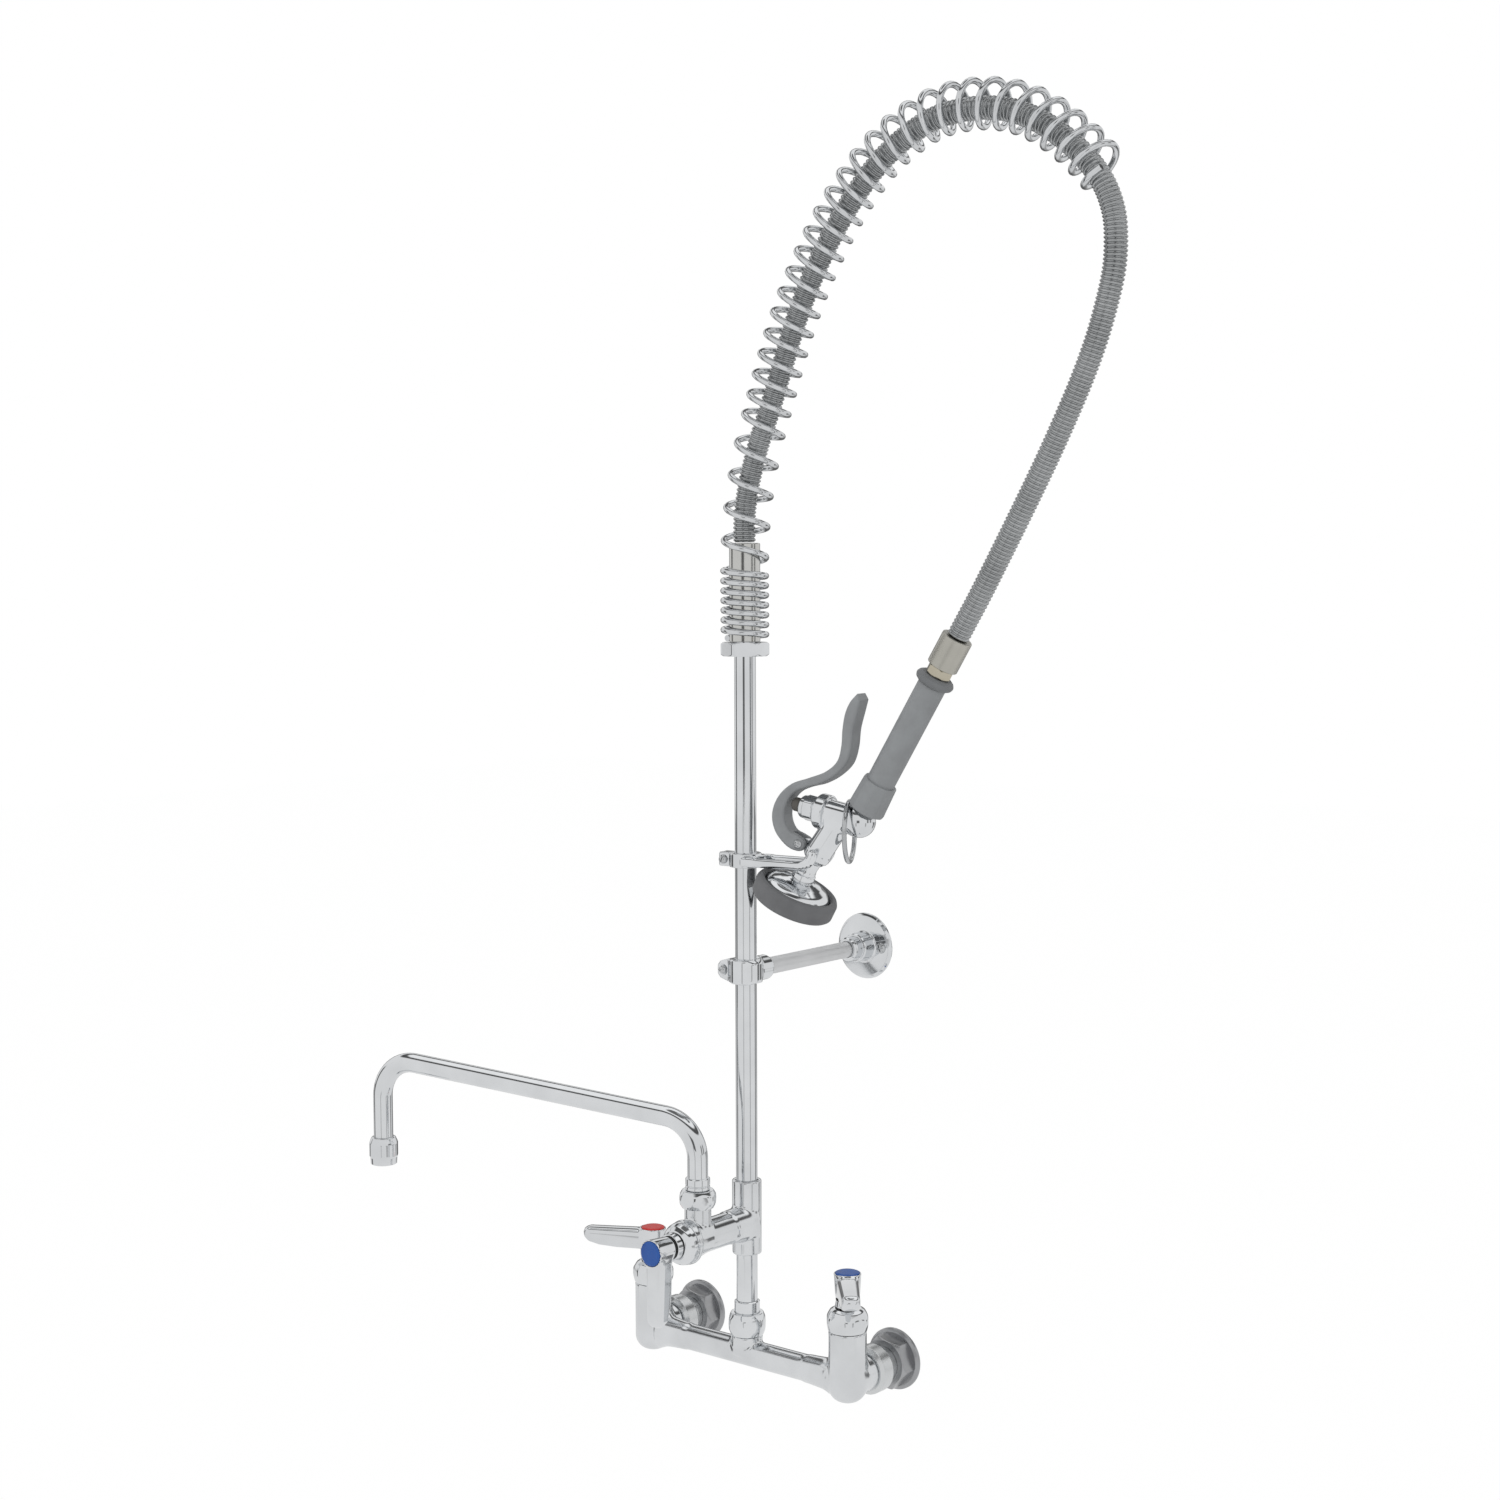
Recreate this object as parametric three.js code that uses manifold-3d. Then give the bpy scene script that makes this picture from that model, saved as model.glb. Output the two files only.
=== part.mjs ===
// Commercial wall faucet with a pre-rinse riser, overhead spring, hose, spray valve and add-on spout.
// Millimetres, +Z up. Origin: on the wall, midway between the two inlets, at the height of their axis.
// +X runs to the cold side, +Y into the wall.
import * as THREE from 'three';
import { mergeVertices } from 'three/addons/utils/BufferGeometryUtils.js';
import Module from 'manifold-3d';

const wasm = await Module();
wasm.setup();

// ---- fits -------------------------------------------------------------------------------------
const seatGap = 0.3; // between two pieces that touch
const rad = THREE.MathUtils.degToRad;
const fine = 16; // sides of a large round piece
const medium = 12; // sides of a nut, lever or spout
const plain = 8; // sides of a small or hidden round piece

// ---- wall and inlets --------------------------------------------------------------------------
const inletCentres = 203.2; // 8 in
const wallToBody = 63.5; // wall to the riser axis, 2.5 in
const flangeDiameter = 49.5;
const flangeThickness = 4;
const flangeHexFlats = 38;
const flangeHexLength = 13;
const inletBore = 16; // female supply thread
const couplingDiameter = 38;
const couplingLength = 13.7;
const tailDiameter = 23;
const tailReach = 5; // how far the tail goes into the flange's hexagon
const washerThickness = 2;

// ---- cast body --------------------------------------------------------------------------------
const crossTubeDiameter = 19.5;
const crossFlareDiameter = 28.4;
const crossFlareLength = 22;
const barrelDiameter = 30;
const barrelBottom = -17.8;
const barrelShoulder = 38.8;
const barrelRound = 9;
const stubDiameter = 28;
const waterway = 12; // bore of every passage in the castings
const neckDiameter = 25;
const neckTop = 14.8;
const spigotDiameter = 19;
const spigotLength = 6.7;

// ---- valves and levers ------------------------------------------------------------------------
const cartridgeDiameter = 19;
const cartridgeDepth = 22;
const cartridgeRise = 5;
const stemDiameter = 9;
const bonnetNutDiameter = 34.5;
const bonnetNutHeight = 18.2;
const armNutDiameter = 27;
const armNutHeight = 9.5;
const bonnetConeHeight = 6.4;
const bonnetConeTop = 17;
const hubRise = 1.6; // bonnet cone to the underside of the lever's hub
const hubDiameter = 21.5;
const hubHeight = 20;
const indexDiameter = 19.4;
const indexThickness = 1.8;
const leverLength = 60.5; // spindle axis to the tip
const leverWidth = 17;
const leverTipWidth = 13;
// lever's edge from below the hub round its tip: out from the spindle, down from the hub's top
const leverEdge = [
  [hubDiameter / 2, 16.5], [leverLength / 2, 15.5], [leverLength - 15.5, 13.4], [leverLength - 6.5, 11.5],
  [leverLength - 1.5, 8.8], [leverLength, 6], [leverLength - 1.5, 3.2], [leverLength - 5.5, 1.7],
  [hubDiameter + 16, 1.6],
];
const leverScrewHead = 7.4;
const leverScrewShank = 4;
const leverScrewLength = 12;
const hotLeverTurn = 208;
const coldLeverTurn = 310;

// ---- swivel joints ----------------------------------------------------------------------------
const outletNutDiameter = 31;
const outletNutHeight = 21.4;
const outletLipHeight = 7.7;
const collarDiameter = 20.4;
const collarTop = 44.8;
const nippleDiameter = 17;
const nippleBore = 13;

// ---- add-on tee -------------------------------------------------------------------------------
const teeBottom = 82.2;
const teeTop = 142.3;
const teeAxis = 107.5;
const teeDiameter = 23.6;
const teeSocket = 11;
const armDiameter = 25;
const cupDiameter = 33;
const cupFlare = 18; // length over which the arm widens to its cup
const cupFace = 79; // riser axis to the face of the arm's cup
const cupLength = 13;
const spoutOffset = 60.3; // riser axis to the spout's axis
const spoutNeckDiameter = 21;
const spoutNeckTop = 137;

// ---- spout ------------------------------------------------------------------------------------
const spoutNutBottom = 132.3;
const spoutNutTop = 146.5;
const spoutNutDiameter = 30;
const spoutCollarDiameter = 19.4;
const spoutCollarHeight = 9.6;
const spoutDiameter = 16.2;
const spoutBore = 13.2;
const spoutReach = 304.8; // 12 in
const spoutRunHeight = 199.7; // height of the run's line over the swivel
const spoutRise = 4.35; // degrees that the run climbs to its tip
const spoutTurn = 191.3; // direction of the run
const spoutBend = 31;
const spoutLegEnd = 141;
const outletDiameter = 25;
const outletBottom = 131.2;
const outletHeight = 23.2;

// ---- riser and wall bracket -------------------------------------------------------------------
const riserDiameter = 17.1;
const riserBore = 13.4;
const riserTop = 588;
const bracketHeight = 311.7;
const clampHeight = 19.5;
const clampDiameter = 26.5;
const clampLugReach = 24;
const clampLugDepth = 15;
const clampSplit = 1;
const clampScrewOffset = 18;
const clampScrewHead = 7.2;
const clampScrewShank = 4;
const bracketReach = 160; // riser axis to the bracket's wall face, nipple uncut
const bracketPipeDiameter = 13.7;
const bracketPipeBore = 9.2;
const bossDiameter = 20;
const bossReach = 24;
const roseDiameter = 56;
const roseThickness = 3;
const roseCollarDiameter = 24;
const roseCollarLength = 14;
const roseLipDiameter = 20;
const roseLipLength = 11;
const roseScrewOffset = 18.4;
const roseScrewHead = 9.4;
const roseScrewShank = 4.6;

// ---- overhead spring --------------------------------------------------------------------------
const springNutBottom = 563;
const springNutHeight = 11;
const springNutFlats = 33.8;
const springNutTurn = -20;
const springDiameter = 38.6;
const springWire = 5;
const tightTurns = 7;
const tightPitch = 7.7;
const openTurns = 4.6;
const openPitch = 24.9;
const archPitch = 16.1;
const stepsPerTurn = 8;
const wireSides = 5;
// spring's centre line: distance out from the riser axis, height
const springLine = [
  [0, 574], [0, 600], [0, 632], [1, 660], [5, 692], [13, 728], [22.5, 758], [33, 790], [45.5, 824],
  [65, 865], [93, 909], [125, 943], [163, 965], [194, 970.5], [224, 968], [250, 958.5], [276, 941],
  [297, 921], [309, 906.5],
];

// ---- hose -------------------------------------------------------------------------------------
const hosePlaneTurn = 7; // degrees that the hose, hook and spray valve stand from +X towards the wall
const hoseDiameter = 17.5;
const hoseGroove = 15.6;
const hoseBore = 10;
const hoseRibs = 85;
const hoseSides = 8;
const lowerFerruleDiameter = 24.4;
const lowerFerruleTop = 652;
// hose's centre line: distance out from the riser axis, height
const hoseLine = [
  [0, 652.6], [0, 669.9], [3.6, 695], [13.4, 729], [24.5, 757.5], [35.7, 789], [48, 822.8], [67.2, 863.4],
  [95.2, 906.8], [126.8, 940.3], [164, 962.2], [194, 967.4], [223.5, 965], [248.6, 955.8], [274, 938.7],
  [294, 919.2], [306, 901], [312.4, 882], [313.8, 864], [312.6, 844], [306.8, 819], [299, 794],
  [288, 766.5], [274.5, 737.5], [259.5, 707.5], [243, 676.5], [225.8, 645], [206.8, 610.8], [197.9, 595.7],
  [189, 580.65],
];

// ---- spray valve ------------------------------------------------------------------------------
const gripTilt = 30.5; // degrees from hanging straight down
const gripStart = [188.8, 179.3]; // top of the upper ferrule: out from the riser axis, height over the hook
const upperFerruleDiameter = 24.2;
const upperFerruleLength = 25.6;
const adapterHexFlats = 18.5;
const adapterHexLength = 7;
const adapterLength = 7.4;
const adapterSpigot = 14;
const adapterBore = 8;
const gripLipDiameter = 31;
const gripLipLength = 8.8;
const gripDiameter = 22.4;
const gripTubeLength = 86.9;
const gripCollarDiameter = 27.6;
const gripCollarFlare = 2.2; // how much wider its open end is
const gripCollarLength = 25.8;
const elbowReach = 10.9; // grip's lower end to the elbow's centre
const elbowDiameter = 25;
const valveTilt = 10.5; // degrees that the valve's cross barrel rises to the bonnet
const crossBarrelDiameter = 22;
const crossBarrelLength = 38.6;
const bodyRingDiameter = 28;
const bodyRingLength = 9;
const headTilt = 26; // degrees from hanging straight down
const headOrigin = [54.6, -8]; // where the spray head's neck leaves the valve, given in the same way
const barrelTilt = 36; // degrees of the valve's lower barrel from hanging straight down
const lowerBarrelDiameter = 21;
const lowerBarrelTop = 58.3; // head's origin up to the cross barrel's axis
const lowerBarrelEnd = 16.5; // head's origin up to the lower barrel's end, which rests on the hook
const headNeckDiameter = 15;
const headNeckReach = 3.4;
const bonnetDiameter = 20.4;
const bonnetLength = 13.6;
const plungerDiameter = 8;
const plungerCapDiameter = 11;
const plungerCapLength = 8;
const plungerShaft = 26;
const plungerReach = 61; // elbow's centre to the plunger's tip
const ringWire = 3.8;
const ringDiameter = 50.4;
const ringPlace = 9.2; // elbow's centre to the ring, along the cross barrel
const ringTurn = 20;
const domeNutDiameter = 18.6;
const domeNutLength = 7;
const domeNutStart = -1.6;
const domeDiameter = 55;
const domeDepth = 16;
const domeWall = 1.8;
const bumperDiameter = 68;
const bumperDepth = 18;
const bumperLip = 3;
const faceThickness = 3;
const faceHoleCircle = 17;
const faceHoleDiameter = 2.6;
const faceHoles = 8;

// ---- squeeze lever ----------------------------------------------------------------------------
const squeezeWidth = 15;
const squeezeForkGap = 7;
const squeezeEye = 5.4;
const pivotDiameter = 4;
const squeezePivot = [53.2, 16.3];
// edges of the lever, from the tip to the pivot and back: out from the riser axis, height over the hook
const squeezeOuter = [
  [106, 135.5], [99.5, 129], [95, 120], [92.5, 107], [91.6, 95], [88, 83], [78, 74.5], [62, 68.5],
  [46, 63], [34, 52.5], [28.6, 39], [31, 26], [40, 15.5], [46.5, 11.8], [52, 10.9],
];
const squeezeInner = [
  [57, 12.5], [58.4, 16.5], [57.2, 20], [52.5, 23.2], [45, 26.5], [41, 33], [40.2, 41], [43.4, 50],
  [50, 56.8], [59, 60.6], [73, 64.3], [86.5, 71.4], [96.5, 81], [100.8, 93.5], [102.6, 108], [106.3, 121],
  [109, 130.5],
];

// ---- finger hook ------------------------------------------------------------------------------
const hookHeight = 401;
const hookBandHeight = 11.5;
const hookBandDiameter = 25.4;
const hookEarReach = 22;
const hookEarWidth = 12;
const hookSlot = 2.4;
const hookScrewHead = 7.6;
const hookScrewShank = 4;
const armThickness = 7.4;
const armGap = 19.4;
const armReach = 71;
const armCurl = 14;
const armCurlAngle = 85;

// ---- derived places ---------------------------------------------------------------------------
const riserY = -wallToBody;
const half = inletCentres / 2;
const couplingFace = flangeThickness + flangeHexLength; // wall to the coupling's near face
const spoutY = riserY - spoutOffset;

// ---- solids -----------------------------------------------------------------------------------
function cleaned(geometry) {
  const bare = geometry.index ? geometry.toNonIndexed() : geometry.clone();
  for (const name of Object.keys(bare.attributes)) if (name !== 'position') bare.deleteAttribute(name);
  const merged = mergeVertices(bare, 1e-4);
  const p = merged.attributes.position.array;
  const kept = [];
  for (let i = 0; i < merged.index.count; i += 3) {
    const [a, b, c] = [0, 1, 2].map((k) => merged.index.array[i + k]);
    if (a !== b && b !== c && c !== a) kept.push(a, b, c);
  }
  return signedVolume(p, kept) < 0 ? flipped(p, kept) : { positions: p, indices: kept };
}

function signedVolume(p, indices) {
  let total = 0;
  const corner = (i) => new THREE.Vector3(p[3 * i], p[3 * i + 1], p[3 * i + 2]);
  for (let i = 0; i < indices.length; i += 3) {
    total += corner(indices[i]).dot(corner(indices[i + 1]).cross(corner(indices[i + 2])));
  }
  return total;
}

function flipped(positions, indices) {
  const turned = indices.slice();
  for (let i = 0; i < turned.length; i += 3) [turned[i], turned[i + 1]] = [turned[i + 1], turned[i]];
  return { positions, indices: turned };
}

function toSolid(geometry) {
  const { positions, indices } = cleaned(geometry);
  return new wasm.Manifold(new wasm.Mesh({
    numProp: 3, vertProperties: new Float32Array(positions), triVerts: new Uint32Array(indices),
  }));
}

function toGeometry(solid) {
  const mesh = solid.getMesh();
  const geometry = new THREE.BufferGeometry();
  geometry.setAttribute('position', new THREE.BufferAttribute(new Float32Array(mesh.vertProperties), 3));
  geometry.setIndex(new THREE.BufferAttribute(new Uint32Array(mesh.triVerts), 1));
  return geometry;
}

const joined = (...pieces) => toGeometry(pieces.map(toSolid).reduce((a, b) => a.add(b)));
const cut = (piece, ...tools) => toGeometry(
  tools.map(toSolid).reduce((a, b) => a.subtract(b), toSolid(piece)));
const shared = (a, b) => toGeometry(toSolid(a).intersect(toSolid(b)));

// a closed outline [radius, height] turned about Z
function turned(profile, sides = fine) {
  const points = profile.map(([r, z]) => new THREE.Vector2(r, z));
  const open = profile[0][0] === 0 && profile[profile.length - 1][0] === 0;
  if (!open) points.push(points[0].clone());
  return new THREE.LatheGeometry(points, sides).rotateX(Math.PI / 2);
}

const rod = (diameter, from, to, sides = fine) => turned(
  [[0, from], [diameter / 2, from], [diameter / 2, to], [0, to]], sides);
const pipe = (diameter, bore, from, to, sides = fine) => turned(
  [[bore / 2, from], [diameter / 2, from], [diameter / 2, to], [bore / 2, to]], sides);

function slab(outline, from, to) {
  const shape = new THREE.Shape(outline.map(([x, y]) => new THREE.Vector2(x, y)));
  return new THREE.ExtrudeGeometry(shape, { depth: to - from, bevelEnabled: false }).translate(0, 0, from);
}

function hexagon(flats, from, to) {
  const corner = flats / 2 / Math.cos(Math.PI / 6);
  const outline = [0, 1, 2, 3, 4, 5].map((i) => [
    corner * Math.cos((i * Math.PI) / 3), corner * Math.sin((i * Math.PI) / 3)]);
  return slab(outline, from, to);
}

const box = (x0, x1, y0, y1, z0, z1) => new THREE.BoxGeometry(x1 - x0, y1 - y0, z1 - z0)
  .translate((x0 + x1) / 2, (y0 + y1) / 2, (z0 + z1) / 2);

// a round-cornered hexagon nut: a hexagon bar shared with a barrel that is fullest at its middle
function roundedNut(diameter, from, to, ends) {
  const r = diameter / 2;
  const span = to - from;
  const barrel = turned([
    [0, from], [r * ends, from], [r * 0.97, from + span * 0.25], [r, from + span * 0.5],
    [r * 0.97, from + span * 0.75], [r * ends, to], [0, to]], medium);
  return shared(hexagon(diameter * 0.93, from - 1, to + 1), barrel);
}

const alongX = (geometry) => geometry.rotateY(Math.PI / 2); // local Z becomes X
const alongY = (geometry) => geometry.rotateX(-Math.PI / 2); // local Z becomes Y

// a path through fixed knots, so that straight runs take one step and bends take several
class KnotPath extends THREE.Curve {
  constructor(knots) {
    super();
    this.knots = knots;
  }

  getPoint(t, target = new THREE.Vector3()) {
    const place = t * (this.knots.length - 1);
    const i = Math.min(Math.floor(place), this.knots.length - 2);
    return target.lerpVectors(this.knots[i], this.knots[i + 1], place - i);
  }

  getTangent(t, target = new THREE.Vector3()) {
    const last = this.knots.length - 1;
    const i = Math.round(t * last);
    const before = this.knots[Math.max(i - 1, 0)];
    const after = this.knots[Math.min(i + 1, last)];
    const here = this.knots[i];
    const arriving = i > 0 ? here.clone().sub(before).normalize() : new THREE.Vector3();
    const leaving = i < last ? after.clone().sub(here).normalize() : new THREE.Vector3();
    return target.copy(arriving.add(leaving)).normalize();
  }

  getUtoTmapping(u) {
    return u;
  }
}

function bentTube(knots, diameter, bore, sides) {
  const shape = new THREE.Shape(circlePoints(diameter / 2, sides));
  if (bore > 0) shape.holes.push(new THREE.Path(circlePoints(bore / 2, sides)));
  return new THREE.ExtrudeGeometry(shape, { steps: knots.length - 1, extrudePath: new KnotPath(knots) });
}

const circlePoints = (radius, sides) => Array.from({ length: sides }, (_, i) => new THREE.Vector2(
  radius * Math.cos((2 * Math.PI * i) / sides), radius * Math.sin((2 * Math.PI * i) / sides)));

// knots of an arc in the XZ plane about a centre, between two angles from +X towards +Z
const arcKnots = (x, z, radius, from, to, steps) => Array.from({ length: steps + 1 }, (_, i) => {
  const angle = from + ((to - from) * i) / steps;
  return new THREE.Vector3(x + radius * Math.cos(angle), 0, z + radius * Math.sin(angle));
});

// ---- finishes ---------------------------------------------------------------------------------
const finishes = {
  chrome: { color: 0xd4d6d8, roughness: 0.12, metalness: 1 },
  satin: { color: 0x9b9c9d, roughness: 0.42, metalness: 1 },
  nickel: { color: 0xa6a59c, roughness: 0.34, metalness: 1 },
  steel: { color: 0xb4b6b8, roughness: 0.25, metalness: 1 },
  brass: { color: 0xb2a06a, roughness: 0.35, metalness: 1 },
  greyPlastic: { color: 0x84878a, roughness: 0.5, metalness: 0 },
  darkRubber: { color: 0x636466, roughness: 0.7, metalness: 0 },
  blackRubber: { color: 0x222222, roughness: 0.8, metalness: 0 },
  blueCap: { color: 0x1f5096, roughness: 0.3, metalness: 0 },
  redCap: { color: 0xc62c26, roughness: 0.3, metalness: 0 },
};

function part(name, geometry, finish, parent) {
  const { positions, indices } = cleaned(geometry);
  const tidy = new THREE.BufferGeometry();
  tidy.setAttribute('position', new THREE.BufferAttribute(new Float32Array(positions), 3));
  tidy.setIndex(indices);
  tidy.computeVertexNormals();
  const mesh = new THREE.Mesh(tidy, new THREE.MeshStandardMaterial(finishes[finish]));
  mesh.name = name;
  parent.add(mesh);
  return mesh;
}

function frameAt(parent, x, y, z) {
  const group = new THREE.Group();
  group.position.set(x, y, z);
  parent.add(group);
  return group;
}

// ---- cast body and inlets ---------------------------------------------------------------------
function crossTube() {
  const r = crossTubeDiameter / 2;
  const flare = crossFlareDiameter / 2;
  const end = half - barrelDiameter / 2 + 2;
  const waistR = r + (flare - r) * 0.28;
  const waist = end - crossFlareLength * 0.4;
  const profile = [[0, -half], [flare, -half], [flare, -end], [waistR, -waist], [r, -end + crossFlareLength],
    [r, end - crossFlareLength], [waistR, waist], [flare, end], [flare, half], [0, half]];
  return alongX(turned(profile)).translate(0, riserY, 0);
}

function valveBarrel(x) {
  const r = barrelDiameter / 2;
  const bend = r - barrelRound;
  const corner = [1, 2, 3].map((i) => {
    const angle = (i * Math.PI) / 6;
    return [bend + barrelRound * Math.sin(angle), barrelBottom + barrelRound * (1 - Math.cos(angle))];
  });
  const profile = [
    [0, barrelBottom], [bend, barrelBottom], ...corner, [r, barrelShoulder], [0, barrelShoulder]];
  const stub = alongY(rod(stubDiameter, 0, wallToBody - couplingFace - couplingLength - seatGap * 2));
  const tail = alongY(rod(tailDiameter, 0, wallToBody - couplingFace + tailReach, medium));
  return joined(turned(profile), stub, tail).translate(x, riserY, 0);
}

function baseBody(root) {
  const neck = rod(neckDiameter, 0, neckTop).translate(0, riserY, 0);
  const spigot = rod(spigotDiameter, 0, neckTop + spigotLength, medium).translate(0, riserY, 0);
  const blank = joined(crossTube(), valveBarrel(-half), valveBarrel(half), neck, spigot);
  const tools = [
    alongX(rod(waterway, -half, half, plain)).translate(0, riserY, 0),
    rod(waterway, 0, neckTop + spigotLength + 1, plain).translate(0, riserY, 0),
  ];
  for (const x of [-half, half]) {
    const seat = rod(
      cartridgeDiameter + 2 * seatGap, barrelShoulder - cartridgeDepth - seatGap, barrelShoulder + 1);
    tools.push(seat.translate(x, riserY, 0));
    tools.push(rod(waterway, 0, barrelShoulder, plain).translate(x, riserY, 0));
    tools.push(alongY(rod(waterway, 0, wallToBody, plain)).translate(x, riserY, 0));
  }
  part('base_body', cut(blank, ...tools), 'chrome', root);
}

function inlet(root, side, x) {
  const place = frameAt(root, x, 0, 0);
  const tailFace = couplingFace - tailReach;
  const washerBack = tailFace - seatGap - washerThickness;
  const socket = tailDiameter + 2 * seatGap;
  const disc = alongY(rod(flangeDiameter, -flangeThickness, 0));
  const chamfer = alongY(turned([
    [0, -couplingFace], [flangeHexFlats / 2, -couplingFace],
    [flangeHexFlats / 2 + 3.2, -couplingFace + 3], [flangeHexFlats / 2 + 3.2, -1], [0, -1]]));
  const boss = shared(alongY(hexagon(flangeHexFlats, -couplingFace, -1)).rotateY(rad(12)), chamfer);
  const bore = alongY(rod(inletBore, -couplingFace - 1, 1, plain));
  const pocket = alongY(rod(socket, -couplingFace - 1, -washerBack + seatGap, medium));
  part(`${side}_inlet_flange`, cut(joined(disc, boss), bore, pocket), 'satin', place);
  part(`${side}_inlet_coupling`, alongY(turned([
    [socket / 2, -couplingFace - couplingLength - seatGap],
    [couplingDiameter / 2 - 1.5, -couplingFace - couplingLength - seatGap],
    [couplingDiameter / 2, -couplingFace - couplingLength + 1.5],
    [couplingDiameter / 2, -couplingFace - seatGap],
    [socket / 2, -couplingFace - seatGap]], medium)), 'chrome', place);
  part(`${side}_inlet_washer`, alongY(pipe(
    tailDiameter - 1, waterway + 1, -tailFace + seatGap, -washerBack, plain)), 'blackRubber', place);
}

// ---- valves, drawn with the spindle along Z, the shoulder at 0 and the lever along +X ----------
function leverBlade() {
  const top = hubHeight;
  const tip = leverTipWidth / 2;
  const plan = [[0, -leverWidth / 2], [leverLength - tip, -tip]];
  for (let i = 1; i <= 5; i += 1) {
    const angle = -Math.PI / 2 + (i * Math.PI) / 6;
    plan.push([leverLength - tip + tip * Math.cos(angle), tip * Math.sin(angle)]);
  }
  plan.push([leverLength - tip, tip], [0, leverWidth / 2]);
  const edge = leverEdge.map(([x, drop]) => [x, top - drop]);
  const side = [[0, edge[0][1]], ...edge, [hubDiameter / 2, top - 0.4], [0, top - 0.4]];
  const sideways = slab(side, -leverWidth, leverWidth).rotateX(Math.PI / 2);
  return shared(slab(plan, -1, top + 1), sideways);
}

function lever() {
  const r = hubDiameter / 2;
  const hub = turned([[0, 0], [r - 2.6, 0], [r, 5], [r, hubHeight], [0, hubHeight]], medium);
  const recess = rod(indexDiameter + 2 * seatGap, hubHeight - indexThickness, hubHeight + 1, medium);
  const socketTop = hubHeight - indexThickness - 7.5;
  const socket = rod(stemDiameter + 2 * seatGap, -1, socketTop, plain);
  const headSeat = rod(leverScrewHead + 2 * seatGap, hubHeight - indexThickness - 4, hubHeight, plain);
  const shank = rod(leverScrewShank + 2 * seatGap, 0, hubHeight, plain);
  return cut(joined(hub, leverBlade()), recess, socket, headSeat, shank);
}

function bonnet(nutDiameter, nutHeight) {
  const r = nutDiameter / 2;
  const cone = bonnetConeTop / 2;
  const outer = shared(hexagon(nutDiameter * 0.95, 0, nutHeight + bonnetConeHeight), turned([
    [0, seatGap], [r * 0.9, seatGap], [r, nutHeight * 0.42], [r * 0.96, nutHeight * 0.66],
    [r * 0.78, nutHeight], [cone + 1.2, nutHeight + 1.5], [cone, nutHeight + bonnetConeHeight],
    [0, nutHeight + bonnetConeHeight]], medium));
  const inside = rod(cartridgeDiameter + 2 * seatGap, -1, cartridgeRise + seatGap, medium);
  const hole = rod(stemDiameter + 2 * seatGap, 0, nutHeight + bonnetConeHeight + 1, medium);
  return cut(outer, inside, hole);
}

function valve(place, name, nutDiameter, nutHeight, capFinish) {
  const start = nutHeight + bonnetConeHeight + hubRise;
  const screwHead = start + hubHeight - indexThickness - 4 + seatGap;
  const stemTop = start + hubHeight - indexThickness - 7.5 - seatGap;
  part(`${name}_cartridge`, pipe(
    cartridgeDiameter, stemDiameter + 2 * seatGap, -cartridgeDepth, cartridgeRise, medium), 'brass', place);
  part(`${name}_bonnet`, bonnet(nutDiameter, nutHeight), 'chrome', place);
  const blank = rod(stemDiameter, -cartridgeDepth + 4, stemTop, plain);
  const tapping = rod(leverScrewShank + 2 * seatGap, screwHead - leverScrewLength - 1, stemTop + 1, plain);
  part(`${name}_stem`, cut(blank, tapping), 'brass', place);
  part(`${name}_lever`, lever().translate(0, 0, start), 'chrome', place);
  part(`${name}_lever_screw`, turned([
    [0, screwHead - leverScrewLength], [leverScrewShank / 2, screwHead - leverScrewLength],
    [leverScrewShank / 2, screwHead], [leverScrewHead / 2, screwHead],
    [leverScrewHead / 2, screwHead + 2.6], [0, screwHead + 2.6]], plain), 'steel', place);
  const capBase = start + hubHeight - indexThickness + seatGap;
  part(`${name}_index`, turned([
    [0, capBase], [indexDiameter / 2, capBase], [indexDiameter / 2, capBase + indexThickness],
    [indexDiameter / 2 - 1.2, capBase + indexThickness + 0.5], [0, capBase + indexThickness + 0.7]], medium),
  capFinish, place);
}

// ---- swivel under the tee, nipple and tee -----------------------------------------------------
function outletSwivel(root) {
  const place = frameAt(root, 0, riserY, 0);
  const bottom = neckTop + seatGap;
  const top = bottom + outletNutHeight;
  const lip = top - outletLipHeight;
  const spigotTop = neckTop + spigotLength;
  const flangeBottom = spigotTop + washerThickness + 2 * seatGap;
  const flangeR = spigotDiameter / 2 + 3;
  const collarR = collarDiameter / 2;
  const outer = roundedNut(outletNutDiameter, bottom, top, 0.84);
  const inside = turned([
    [0, bottom - 1], [spigotDiameter / 2 + seatGap, bottom - 1], [spigotDiameter / 2 + seatGap, spigotTop],
    [flangeR + seatGap, spigotTop], [flangeR + seatGap, lip], [collarR + seatGap, lip],
    [collarR + seatGap, top + 1], [0, top + 1]], medium);
  part('outlet_swivel_nut', cut(outer, inside), 'chrome', place);
  part('outlet_washer', pipe(
    spigotDiameter - 0.4, waterway + 1, spigotTop + seatGap, spigotTop + seatGap + washerThickness, plain),
  'blackRubber', place);
  const nippleStart = lip + 2;
  part('nipple_collar', turned([
    [waterway / 2, flangeBottom], [flangeR, flangeBottom], [flangeR, lip - seatGap],
    [collarR, lip - seatGap], [collarR, collarTop], [nippleDiameter / 2 + seatGap, collarTop],
    [nippleDiameter / 2 + seatGap, nippleStart], [waterway / 2, nippleStart]], medium), 'chrome', place);
  part('lower_nipple', pipe(
    nippleDiameter, nippleBore, nippleStart + seatGap, teeBottom + teeSocket - seatGap, medium),
  'chrome', place);
}

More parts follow.
